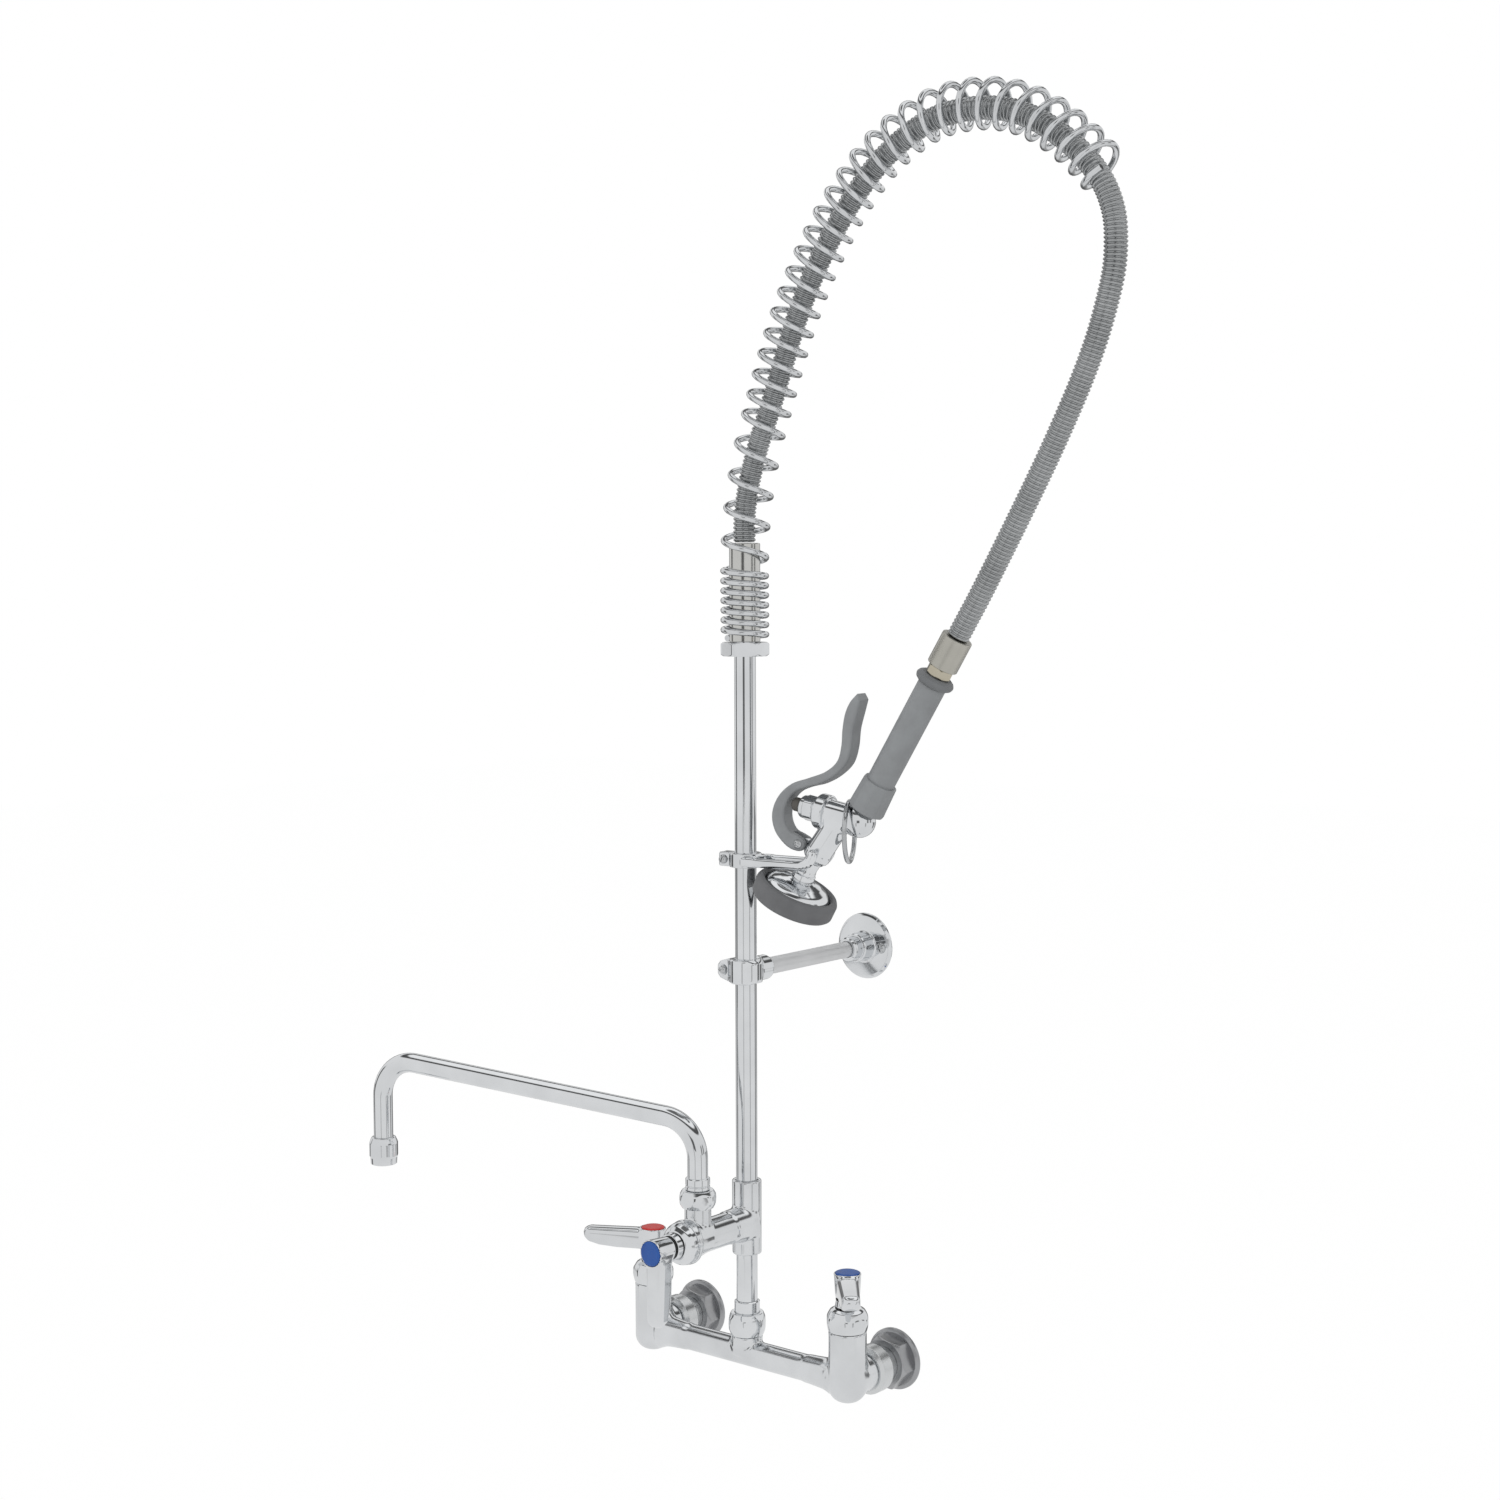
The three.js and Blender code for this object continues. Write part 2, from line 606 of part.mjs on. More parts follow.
function addonTee(root) {
  const place = frameAt(root, 0, riserY, 0);
  const cupR = cupDiameter / 2;
  const armR = armDiameter / 2;
  const post = turned([
    [0, teeBottom], [teeDiameter / 2 - 1, teeBottom], [teeDiameter / 2, teeBottom + 1.2],
    [teeDiameter / 2, teeTop - 1], [teeDiameter / 2 - 0.8, teeTop], [0, teeTop]]);
  const towardsFront = (geometry) => geometry.rotateX(Math.PI / 2).translate(0, 0, teeAxis);
  const arm = towardsFront(turned([
    [0, 0], [armR + 0.6, 0], [armR, 14], [armR, cupFace - cupLength - cupFlare],
    [armR + (cupR - armR) * 0.35, cupFace - cupLength - cupFlare / 2], [cupR, cupFace - cupLength],
    [cupR, cupFace - 2], [cupR - 2, cupFace], [0, cupFace]]));
  const neck = rod(spoutNeckDiameter, teeAxis, spoutNeckTop, medium).translate(0, -spoutOffset, 0);
  const seat = cartridgeDiameter + 2 * seatGap;
  const tools = [
    rod(nippleDiameter + 2 * seatGap, teeBottom - 1, teeBottom + teeSocket, medium),
    rod(riserDiameter + 2 * seatGap, teeTop - teeSocket, teeTop + 1),
    rod(waterway, teeBottom, teeTop, plain),
    towardsFront(rod(waterway, 0, cupFace, plain)),
    towardsFront(rod(seat, cupFace - cartridgeDepth - seatGap, cupFace + 1)),
    rod(waterway, teeAxis, spoutNeckTop + 1, plain).translate(0, -spoutOffset, 0),
  ];
  part('addon_tee', cut(joined(post, arm, neck), ...tools), 'chrome', place);
}

// ---- spout ------------------------------------------------------------------------------------
function spoutKnots(start) {
  const rise = rad(spoutRise);
  const kneeTurn = Math.PI / 2 - rise;
  const kneeX = spoutBend;
  const kneeZ = spoutRunHeight + spoutBend * Math.tan(rise) - spoutBend / Math.cos(rise);
  const tipX = spoutReach - spoutBend;
  const tipZ = spoutRunHeight + tipX * Math.tan(rise) - spoutBend / Math.cos(rise);
  return [
    new THREE.Vector3(0, 0, start),
    ...arcKnots(kneeX, kneeZ, spoutBend, Math.PI, Math.PI - kneeTurn, 5),
    ...arcKnots(tipX, tipZ, spoutBend, Math.PI / 2 + rise, 0, 5),
    new THREE.Vector3(spoutReach, 0, spoutLegEnd),
  ];
}

function spout(root) {
  const place = frameAt(root, 0, spoutY, 0);
  const neckR = spoutNeckDiameter / 2;
  const washerTop = spoutNeckTop + seatGap + washerThickness;
  const flangeBottom = washerTop + seatGap;
  const flangeTop = flangeBottom + 2.6;
  const inside = turned([
    [0, spoutNutBottom - 1], [neckR + seatGap, spoutNutBottom - 1], [neckR + seatGap, flangeTop + seatGap],
    [spoutDiameter / 2 + 0.5, flangeTop + seatGap], [spoutDiameter / 2 + 0.5, spoutNutTop + 1],
    [0, spoutNutTop + 1]], medium);
  part('spout_swivel_nut', cut(
    roundedNut(spoutNutDiameter, spoutNutBottom, spoutNutTop, 0.82), inside), 'chrome', place);
  part('spout_o_ring', pipe(
    spoutNeckDiameter - 2, waterway + 1.5, spoutNeckTop + seatGap, washerTop, plain), 'blackRubber', place);
  const swing = frameAt(place, 0, 0, 0);
  swing.rotation.z = rad(spoutTurn);
  const tube = bentTube(spoutKnots(flangeBottom), spoutDiameter, spoutBore, medium);
  const foot = pipe(spoutNeckDiameter - 0.4, spoutDiameter - 1.6, flangeBottom, flangeTop, medium);
  const collar = turned([
    [spoutDiameter / 2 - 0.8, spoutNutTop + seatGap], [spoutCollarDiameter / 2, spoutNutTop + seatGap],
    [spoutCollarDiameter / 2, spoutNutTop + spoutCollarHeight - 0.8],
    [spoutCollarDiameter / 2 - 0.8, spoutNutTop + spoutCollarHeight],
    [spoutDiameter / 2 - 0.8, spoutNutTop + spoutCollarHeight]], medium);
  part('spout_tube', joined(tube, foot, collar), 'chrome', swing);
  spoutOutlet(swing);
}

function spoutOutlet(swing) {
  const r = outletDiameter / 2;
  const top = outletBottom + outletHeight;
  const outer = turned([
    [0, outletBottom], [r - 1.6, outletBottom], [r - 1.2, outletBottom + 6], [r, outletBottom + 8],
    [r, top - 5], [spoutDiameter / 2 + 1.6, top], [0, top]], medium);
  const socket = rod(spoutDiameter + 2 * seatGap, spoutLegEnd - seatGap, top + 1, medium);
  const throat = rod(spoutBore, outletBottom - 1, top, plain);
  part('spout_outlet', cut(outer, socket, throat).translate(spoutReach, 0, 0), 'chrome', swing);
}

// ---- riser, bracket, spring nut ---------------------------------------------------------------
function riser(root) {
  const place = frameAt(root, 0, riserY, 0);
  const riserBottom = teeTop - teeSocket + seatGap;
  part('riser_pipe', pipe(riserDiameter, riserBore, riserBottom, riserTop), 'chrome', place);
  const springNutTop = springNutBottom + springNutHeight;
  const bore = riserDiameter + 2 * seatGap;
  const nut = hexagon(springNutFlats, springNutBottom, springNutTop).rotateZ(rad(springNutTurn));
  part('spring_nut', cut(nut, rod(bore, springNutBottom - 1, springNutTop + 1)), 'chrome', place);
  part('hose_lower_ferrule', turned([
    [bore / 2, springNutTop + seatGap], [lowerFerruleDiameter / 2, springNutTop + seatGap],
    [lowerFerruleDiameter / 2, lowerFerruleTop], [hoseBore / 2, lowerFerruleTop],
    [hoseBore / 2, riserTop + seatGap], [bore / 2, riserTop + seatGap]]), 'nickel', place);
}

function clampBlank() {
  const r = clampDiameter / 2;
  const lug = clampLugDepth / 2;
  const plan = joined(
    rod(clampDiameter, -clampHeight / 2, clampHeight / 2),
    box(-clampLugReach, 0, -lug, lug, -clampHeight / 2, clampHeight / 2));
  const top = clampHeight / 2;
  const lower = [[-clampLugReach, -3.5], [-clampLugReach + 3, -7], [-r, -top + 0.5], [-4, -top],
    [r - 4, -top], [r, -top + 3]];
  const upper = lower.map(([x, z]) => [x, -z]).reverse();
  const front = [...lower, ...upper];
  return shared(plan, slab(front, -r - 1, r + 1).rotateX(Math.PI / 2));
}

function wallBracket(root) {
  const place = frameAt(root, 0, riserY, bracketHeight);
  const wide = 2 * clampLugReach;
  const bore = rod(riserDiameter + 2 * seatGap, -clampHeight, clampHeight);
  const screwHole = alongY(rod(clampScrewShank + 2 * seatGap, -wide, wide, plain));
  screwHole.translate(-clampScrewOffset, 0, 0);
  const pipeHole = alongY(rod(
    bracketPipeDiameter + 2 * seatGap, clampDiameter / 2 - 1, bossReach + 1, plain));
  const frontHalf = box(-wide, wide, -wide, -clampSplit / 2, -wide, wide);
  const rearHalf = box(-wide, wide, clampSplit / 2, wide, -wide, wide);
  const boss = alongY(rod(bossDiameter, 4, bossReach));
  const blank = clampBlank();
  part('bracket_front_clamp', cut(shared(blank, frontHalf), bore, screwHole), 'chrome', place);
  const rear = joined(shared(blank, rearHalf), boss);
  part('bracket_rear_clamp', cut(rear, bore, screwHole, pipeHole), 'chrome', place);
  const face = -clampLugDepth / 2 - seatGap;
  part('bracket_clamp_screw', alongY(turned([
    [0, face - 2.6], [clampScrewHead / 2 - 1, face - 2.6], [clampScrewHead / 2, face - 1.4],
    [clampScrewHead / 2, face], [clampScrewShank / 2, face], [clampScrewShank / 2, clampLugDepth / 2 - 0.5],
    [0, clampLugDepth / 2 - 0.5]], 6)).translate(-clampScrewOffset, 0, 0), 'steel', place);
  const pipeStart = clampDiameter / 2 - 1 + seatGap;
  part('bracket_pipe', alongY(pipe(
    bracketPipeDiameter, bracketPipeBore, pipeStart, bracketReach - roseThickness, plain)), 'steel', place);
  rose(place);
}

function rose(place) {
  const back = bracketReach;
  const lipStart = back - roseThickness - roseCollarLength - roseLipLength;
  const collarStart = back - roseThickness - roseCollarLength;
  const outer = alongY(turned([
    [0, lipStart], [roseLipDiameter / 2, lipStart], [roseLipDiameter / 2, collarStart],
    [roseCollarDiameter / 2, collarStart], [roseCollarDiameter / 2, back - roseThickness],
    [roseDiameter / 2 - 1, back - roseThickness], [roseDiameter / 2, back - roseThickness + 1.4],
    [roseDiameter / 2, back], [0, back]]));
  const holeEnd = back - roseThickness + seatGap;
  const hole = alongY(rod(bracketPipeDiameter + 2 * seatGap, lipStart - 1, holeEnd, plain));
  const throughHoles = [-1, 1].map((side) => alongY(rod(
    roseScrewShank + 2 * seatGap, back - 8, back + 1, plain)).translate(side * roseScrewOffset, 0, 0));
  part('bracket_flange', cut(outer, hole, ...throughHoles), 'chrome', place);
  for (const [name, side] of [['left', -1], ['right', 1]]) {
    const face = back - roseThickness - seatGap;
    part(`bracket_flange_screw_${name}`, alongY(turned([
      [0, face - 3.4], [roseScrewHead / 2 - 1.6, face - 3], [roseScrewHead / 2, face - 1],
      [roseScrewHead / 2, face], [roseScrewShank / 2, face], [roseScrewShank / 2, back - 0.4],
      [0, back - 0.4]], plain)).translate(side * roseScrewOffset, 0, 0), 'steel', place);
  }
}

// ---- spring and hose --------------------------------------------------------------------------
const lineOf = (list) => new THREE.CatmullRomCurve3(list.map(([u, z]) => new THREE.Vector3(u, 0, z)));

// rings of points about a row of centres, each square to the row, closed at both ends
function ringRow(centres, radii, sides) {
  const rings = [];
  let across = new THREE.Vector3(0, 1, 0);
  centres.forEach((centre, i) => {
    const before = centres[Math.max(i - 1, 0)];
    const after = centres[Math.min(i + 1, centres.length - 1)];
    const along = after.clone().sub(before).normalize();
    across = across.clone().addScaledVector(along, -across.dot(along)).normalize();
    const up = along.clone().cross(across);
    rings.push(Array.from({ length: sides }, (_, k) => {
      const angle = (2 * Math.PI * k) / sides;
      return centre.clone().addScaledVector(across, radii[i] * Math.cos(angle))
        .addScaledVector(up, radii[i] * Math.sin(angle));
    }));
  });
  return rings;
}

function skin(rings, mesh, inward) {
  const sides = rings[0].length;
  const first = mesh.points.length;
  rings.forEach((ring) => mesh.points.push(...ring));
  for (let i = 0; i < rings.length - 1; i += 1) {
    for (let k = 0; k < sides; k += 1) {
      const a = first + i * sides + k;
      const b = first + i * sides + ((k + 1) % sides);
      const faces = [a, b, b + sides, a, b + sides, a + sides];
      mesh.faces.push(...(inward ? faces.reverse() : faces));
    }
  }
  return first;
}

function rimFaces(mesh, outer, inner, sides, turnedOver) {
  for (let k = 0; k < sides; k += 1) {
    const n = (k + 1) % sides;
    const faces = [outer + k, inner + k, inner + n, outer + k, inner + n, outer + n];
    mesh.faces.push(...(turnedOver ? faces.reverse() : faces));
  }
}

function capFaces(mesh, ring, sides, turnedOver) {
  for (let k = 1; k < sides - 1; k += 1) {
    const faces = [ring, ring + k + 1, ring + k];
    mesh.faces.push(...(turnedOver ? faces.reverse() : faces));
  }
}

function geometryOf(mesh) {
  const geometry = new THREE.BufferGeometry();
  const values = mesh.points.flatMap((p) => [p.x, p.y, p.z]);
  geometry.setAttribute('position', new THREE.Float32BufferAttribute(values, 3));
  geometry.setIndex(mesh.faces);
  return geometry;
}

// turns wound by the distance s along the spring's line
function turnsAt(s) {
  const tight = tightTurns * tightPitch;
  const open = openTurns * openPitch;
  if (s < tight) return s / tightPitch;
  if (s < tight + open) return tightTurns + (s - tight) / openPitch;
  return tightTurns + openTurns + (s - tight - open) / archPitch;
}

function distanceAt(turns) {
  if (turns < tightTurns) return turns * tightPitch;
  if (turns < tightTurns + openTurns) return tightTurns * tightPitch + (turns - tightTurns) * openPitch;
  return tightTurns * tightPitch + openTurns * openPitch + (turns - tightTurns - openTurns) * archPitch;
}

function springWireLine() {
  const line = lineOf(springLine);
  const length = line.getLength();
  const first = springWire / 2 + seatGap; // the wire's end lies on the nut
  const span = length - first - springWire;
  const steps = Math.floor(turnsAt(span) * stepsPerTurn);
  const r = (springDiameter - springWire) / 2;
  const points = [];
  for (let i = 0; i <= steps; i += 1) {
    const turns = i / stepsPerTurn;
    const u = (first + distanceAt(turns)) / length;
    const along = line.getTangentAt(u);
    const out = new THREE.Vector3(-along.z, 0, along.x);
    const angle = 2 * Math.PI * turns;
    points.push(line.getPointAt(u).addScaledVector(out, r * Math.cos(angle))
      .add(new THREE.Vector3(0, r * Math.sin(angle), 0)));
  }
  const last = points[points.length - 1];
  const heading = last.clone().sub(points[points.length - 2]).normalize();
  return [...points, last.clone().addScaledVector(heading, springWire)];
}

// least clear distance between one stretch of a tube and another, more than half a turn away
function leastGap(points, diameter, apart) {
  let least = Infinity;
  for (let i = 0; i < points.length; i += 1) {
    for (let k = i + apart; k < points.length; k += 1) {
      least = Math.min(least, points[i].distanceTo(points[k]));
    }
  }
  return least - diameter;
}

function overheadSpring(plane) {
  const wire = springWireLine();
  const mesh = { points: [], faces: [] };
  const rings = ringRow(wire, wire.map(() => springWire / 2), wireSides);
  const first = skin(rings, mesh, false);
  capFaces(mesh, first, wireSides, false);
  capFaces(mesh, first + (rings.length - 1) * wireSides, wireSides, true);
  part('overhead_spring', geometryOf(mesh), 'chrome', plane);
  const gap = leastGap(wire, springWire, stepsPerTurn / 2 + 1);
  const turns = (wire.length / stepsPerTurn).toFixed(1);
  console.log(`overhead_spring: ${turns} turns, least gap ${gap.toFixed(2)} mm`);
}

function flexibleHose(plane) {
  const line = lineOf(hoseLine);
  const length = line.getLength();
  const rings = 2 * hoseRibs;
  const straight = hoseDiameter / length;
  const place = (i) => straight + ((1 - 2 * straight) * i) / (rings - 1);
  const centres = [line.getPointAt(0)];
  const radii = [hoseDiameter / 2];
  for (let i = 0; i < rings; i += 1) {
    centres.push(line.getPointAt(place(i)));
    radii.push((i % 2 === 0 ? hoseGroove : hoseDiameter) / 2);
  }
  centres.push(line.getPointAt(1));
  radii.push(hoseDiameter / 2);
  const boreSteps = hoseRibs / 5;
  const boreCentres = Array.from({ length: boreSteps + 1 }, (_, i) => line.getPointAt(i / boreSteps));
  const mesh = { points: [], faces: [] };
  const outerRings = ringRow(centres, radii, hoseSides);
  const innerRings = ringRow(boreCentres, boreCentres.map(() => hoseBore / 2), hoseSides);
  const outer = skin(outerRings, mesh, false);
  const inner = skin(innerRings, mesh, true);
  rimFaces(mesh, outer, inner, hoseSides, false);
  rimFaces(mesh, outer + (outerRings.length - 1) * hoseSides, inner + (innerRings.length - 1) * hoseSides,
    hoseSides, true);
  part('flexible_hose', geometryOf(mesh), 'steel', plane);
  const gap = leastGap(centres, hoseDiameter, 20);
  console.log(`flexible_hose: ${length.toFixed(0)} mm long, least gap to itself ${gap.toFixed(1)} mm`);
}

// ---- spray valve ------------------------------------------------------------------------------
function tilted(parent, [u, z], turn) {
  const group = frameAt(parent, u, 0, z);
  group.rotation.y = turn;
  return group;
}

const gripTurn = Math.PI + rad(gripTilt);
const headTurn = Math.PI + rad(headTilt);
const barrelTurn = Math.PI + rad(barrelTilt);
const crossTurn = rad(valveTilt) - Math.PI / 2;
const gripTop = upperFerruleLength + adapterLength + 2 * seatGap;
const gripEnd = gripTop + gripLipLength + gripTubeLength + gripCollarLength;
const elbow = [
  gripStart[0] - (gripEnd + elbowReach) * Math.sin(rad(gripTilt)),
  gripStart[1] - (gripEnd + elbowReach) * Math.cos(rad(gripTilt)),
];

function grip(plane) {
  const place = tilted(plane, gripStart, gripTurn);
  const hexStart = upperFerruleLength + seatGap;
  const r = gripDiameter / 2;
  const bore = adapterSpigot + 2 * seatGap;
  part('hose_upper_ferrule', pipe(
    upperFerruleDiameter, hoseBore, 0, upperFerruleLength, medium), 'nickel', place);
  const adapter = joined(
    hexagon(adapterHexFlats, hexStart, hexStart + adapterHexLength),
    rod(adapterHexFlats - 1.5, hexStart + 1, hexStart + adapterLength - seatGap, medium),
    rod(adapterSpigot, hexStart + 1, gripTop + 14, medium));
  part('grip_adapter', cut(adapter, rod(adapterBore, hexStart - 1, gripTop + 15, plain)), 'brass', place);
  const lipEnd = gripTop + gripLipLength;
  const collarStart = lipEnd + gripTubeLength;
  const collarR = gripCollarDiameter / 2;
  part('grip_handle', turned([
    [bore / 2, gripTop], [r + 0.8, gripTop], [gripLipDiameter / 2 - 0.8, gripTop + 2],
    [gripLipDiameter / 2, gripTop + 4], [gripLipDiameter / 2 - 0.8, gripTop + 6.4], [r, lipEnd],
    [r, collarStart], [collarR, collarStart + 0.8], [collarR + gripCollarFlare / 2, gripEnd - 0.8],
    [collarR + gripCollarFlare / 2 - 1, gripEnd], [bore / 2, gripEnd]], medium), 'greyPlastic', place);
}

function valveBody(plane) {
  const bend = tilted(plane, elbow, gripTurn);
  const cross = tilted(plane, elbow, crossTurn);
  const head = tilted(plane, headOrigin, headTurn);
  const lower = tilted(plane, headOrigin, barrelTurn);
  const inPlane = (geometry, group) => {
    group.updateMatrix();
    return geometry.applyMatrix4(group.matrix);
  };
  const spigotReach = elbowReach + 18;
  const ringStart = crossBarrelLength - bodyRingLength - 2;
  const [pivotU, pivotZ] = squeezePivot;
  const lugR = squeezeEye - 1;
  const lugWide = squeezeForkGap / 2 - seatGap;
  const lug = joined(
    rod(2 * lugR, -lugWide, lugWide, plain).rotateX(Math.PI / 2).translate(pivotU, 0, pivotZ),
    box(pivotU, pivotU + 14, -lugWide, lugWide, pivotZ - lugR, pivotZ + lugR));
  const shell = joined(
    inPlane(rod(adapterSpigot, -spigotReach, 0, medium), bend),
    new THREE.SphereGeometry(elbowDiameter / 2, medium, 8).translate(elbow[0], 0, elbow[1]),
    inPlane(rod(crossBarrelDiameter, 0, crossBarrelLength), cross),
    inPlane(rod(bodyRingDiameter, ringStart, ringStart + bodyRingLength), cross),
    inPlane(rod(lowerBarrelDiameter, -lowerBarrelTop, -lowerBarrelEnd), lower),
    inPlane(rod(headNeckDiameter - 1, -lowerBarrelTop, 0, medium), lower),
    inPlane(rod(headNeckDiameter, -headNeckReach, headNeckReach, medium), head),
    lug);
  const shaftSeat = plungerReach - plungerCapLength - plungerShaft - 7;
  const tools = [
    inPlane(rod(adapterBore, -spigotReach - 1, 0, 12), bend),
    inPlane(rod(adapterBore, 0, crossBarrelLength + 1, 12), cross),
    inPlane(rod(plungerDiameter + 2 * seatGap, shaftSeat, crossBarrelLength + 1, plain), cross),
    inPlane(rod(adapterBore, -lowerBarrelTop, 0, 12), lower),
    inPlane(rod(adapterBore, -2, headNeckReach + 1, 12), head),
    rod(pivotDiameter + 2 * seatGap, -squeezeWidth, squeezeWidth, 12).rotateX(Math.PI / 2)
      .translate(pivotU, 0, pivotZ),
  ];
  part('spray_valve_body', cut(shell, ...tools), 'chrome', plane);
}

function plungerAndBonnet(plane) {
  const place = tilted(plane, elbow, crossTurn);
  const start = crossBarrelLength + seatGap;
  const hex = shared(hexagon(bonnetDiameter * 0.92, start, start + bonnetLength), turned([
    [0, start], [bonnetDiameter / 2, start], [bonnetDiameter / 2, start + bonnetLength - 3],
    [bonnetDiameter / 2 - 2.5, start + bonnetLength], [0, start + bonnetLength]]));
  const hole = rod(plungerDiameter + 2 * seatGap, start - 1, start + bonnetLength + 1, plain);
  const capStart = plungerReach - plungerCapLength;
  const pocket = rod(plungerCapDiameter + 2 * seatGap, capStart - 5.5, start + bonnetLength + 1, plain);
  part('spray_bonnet', cut(hex, hole, pocket), 'chrome', place);
  part('spray_plunger', turned([
    [0, capStart - plungerShaft], [plungerDiameter / 2, capStart - plungerShaft],
    [plungerDiameter / 2, capStart], [plungerCapDiameter / 2, capStart],
    [plungerCapDiameter / 2, plungerReach - 1.6], [plungerCapDiameter / 2 - 1.8, plungerReach],
    [0, plungerReach]], plain), 'darkRubber', place);
}

function sprayHead(plane) {
  const place = tilted(plane, headOrigin, headTurn);
  const nutEnd = domeNutStart + domeNutLength;
  const rim = nutEnd + domeDepth;
  const r = domeDiameter / 2;
  const socket = headNeckDiameter / 2 + seatGap;
  const neckEnd = headNeckReach + seatGap;
  const faceStart = rim + seatGap;
  const faceR = r - domeWall;
  part('spray_dome', turned([
    [socket, domeNutStart], [domeNutDiameter / 2, domeNutStart], [domeNutDiameter / 2, nutEnd - 1],
    [r * 0.5, nutEnd + 1], [r * 0.8, nutEnd + 3.6], [r * 0.97, nutEnd + 7.5], [r, rim - 2], [r, rim],
    [r - domeWall, rim], [r - domeWall, nutEnd + 8.2], [r * 0.75, nutEnd + 5.4], [r * 0.45, nutEnd + 3],
    [4, nutEnd + 2.4], [4, neckEnd], [socket, neckEnd]]), 'chrome', place);
  const holes = [[0, 0]];
  for (let i = 0; i < faceHoles; i += 1) {
    const angle = (2 * Math.PI * i) / faceHoles;
    holes.push([faceHoleCircle * Math.cos(angle), faceHoleCircle * Math.sin(angle)]);
  }
  const tools = holes.map(([x, y]) => rod(
    faceHoleDiameter, faceStart - 1, faceStart + faceThickness + 1, 6).translate(x, y, 0));
  part('spray_face', cut(rod(2 * faceR, faceStart, faceStart + faceThickness), ...tools), 'steel', place);
  const bumperStart = rim + faceThickness + 2 * seatGap + bumperLip - bumperDepth;
  const seat = r + seatGap;
  const R = bumperDiameter / 2;
  const faceBack = faceStart + faceThickness + seatGap;
  part('bumper_ring', turned([
    [seat, bumperStart + 3.5], [R - 4.5, bumperStart + 0.8], [R - 1.5, bumperStart + 2.4],
    [R, bumperStart + 5.5], [R - 0.4, faceBack + bumperLip - 2], [R - 2.4, faceBack + bumperLip],
    [faceR - 3, faceBack + bumperLip],
    [faceR - 3, faceBack], [seat, faceBack]]), 'darkRubber', place);
}

function holdDownRing(plane) {
  const r = (ringDiameter - ringWire) / 2;
  const drop = r - ringWire / 2 - crossBarrelDiameter / 2 / Math.cos(rad(valveTilt)) - seatGap;
  const u = elbow[0] - ringPlace * Math.cos(rad(valveTilt));
  const z = elbow[1] + ringPlace * Math.sin(rad(valveTilt)) - drop;
  const ring = new THREE.TorusGeometry(r, ringWire / 2, 6, fine).rotateY(Math.PI / 2).rotateZ(rad(ringTurn));
  part('hold_down_ring', ring.translate(u, 0, z), 'steel', plane);
}

function squeezeLever(plane) {
  const outline = [...squeezeOuter, ...squeezeInner];
  const blade = slab(outline, -squeezeWidth / 2, squeezeWidth / 2).rotateX(Math.PI / 2);
  const [u, z] = squeezePivot;
  const end = squeezeWidth / 2;
  const acrossPivot = (geometry) => geometry.rotateX(Math.PI / 2).translate(u, 0, z);
  const eye = acrossPivot(rod(2 * squeezeEye, -end, end, plain));
  const gap = squeezeForkGap / 2;
  const fork = box(u - squeezeEye - 1.5, u + 14, -gap, gap, z - 9, z + 9);
  const hole = acrossPivot(rod(pivotDiameter + 2 * seatGap, -squeezeWidth, squeezeWidth, 12));
  part('squeeze_lever', cut(joined(blade, eye), fork, hole), 'greyPlastic', plane);
  part('squeeze_pivot_screw', acrossPivot(turned([
    [0, -end + 0.5], [pivotDiameter / 2, -end + 0.5], [pivotDiameter / 2, end + seatGap],
    [pivotDiameter / 2 + 1.7, end + seatGap], [pivotDiameter / 2 + 1.7, end + 1.6],
    [pivotDiameter / 2 + 0.6, end + 2.3], [0, end + 2.3]], 12)), 'steel', plane);
}

// ---- finger hook ------------------------------------------------------------------------------
function hookArm(side) {
  const start = hookBandDiameter / 2 - 3;
  const y = side * (armGap + armThickness) / 2;
  const knots = [
    new THREE.Vector3(start, 0, 0),
    ...arcKnots(armReach, armCurl, armCurl, -Math.PI / 2, -Math.PI / 2 + rad(armCurlAngle), 4),
  ];
  return bentTube(knots, armThickness, 0, plain).translate(0, y, 0);
}

function fingerHook(place) {
  const top = hookBandHeight / 2;
  const spread = armGap / 2 + armThickness;
  const band = rod(hookBandDiameter, -top, top);
  const ears = box(-hookEarReach, 0, -hookEarWidth / 2, hookEarWidth / 2, -top, top);
  const shoulder = box(4, hookBandDiameter / 2 + 6, -spread, spread, -armThickness / 2, armThickness / 2);
  const blank = joined(band, ears, shoulder, hookArm(-1), hookArm(1));
  const screwU = -(hookBandDiameter / 2 + hookEarReach) / 2;
  const tools = [
    rod(riserDiameter + 2 * seatGap, -2 * top, 2 * top),
    box(-hookEarReach - 1, 0, -hookSlot / 2, hookSlot / 2, -2 * top, 2 * top),
    alongY(rod(hookScrewShank + 2 * seatGap, -hookEarWidth, hookEarWidth, plain)).translate(screwU, 0, 0),
    box(hookBandDiameter / 2, hookBandDiameter / 2 + 8, -armGap / 2, armGap / 2, -2 * top, 2 * top),
  ];
  part('finger_hook', cut(blank, ...tools), 'chrome', place);
  const face = hookEarWidth / 2 + seatGap;
  part('hook_screw', alongY(turned([
    [0, -face - 2.8], [hookScrewHead / 2 - 1, -face - 2.6], [hookScrewHead / 2, -face - 1.4],
    [hookScrewHead / 2, -face], [hookScrewShank / 2, -face], [hookScrewShank / 2, hookEarWidth / 2 - 0.5],
    [0, hookEarWidth / 2 - 0.5]], plain)).translate(screwU, 0, 0), 'steel', place);
}

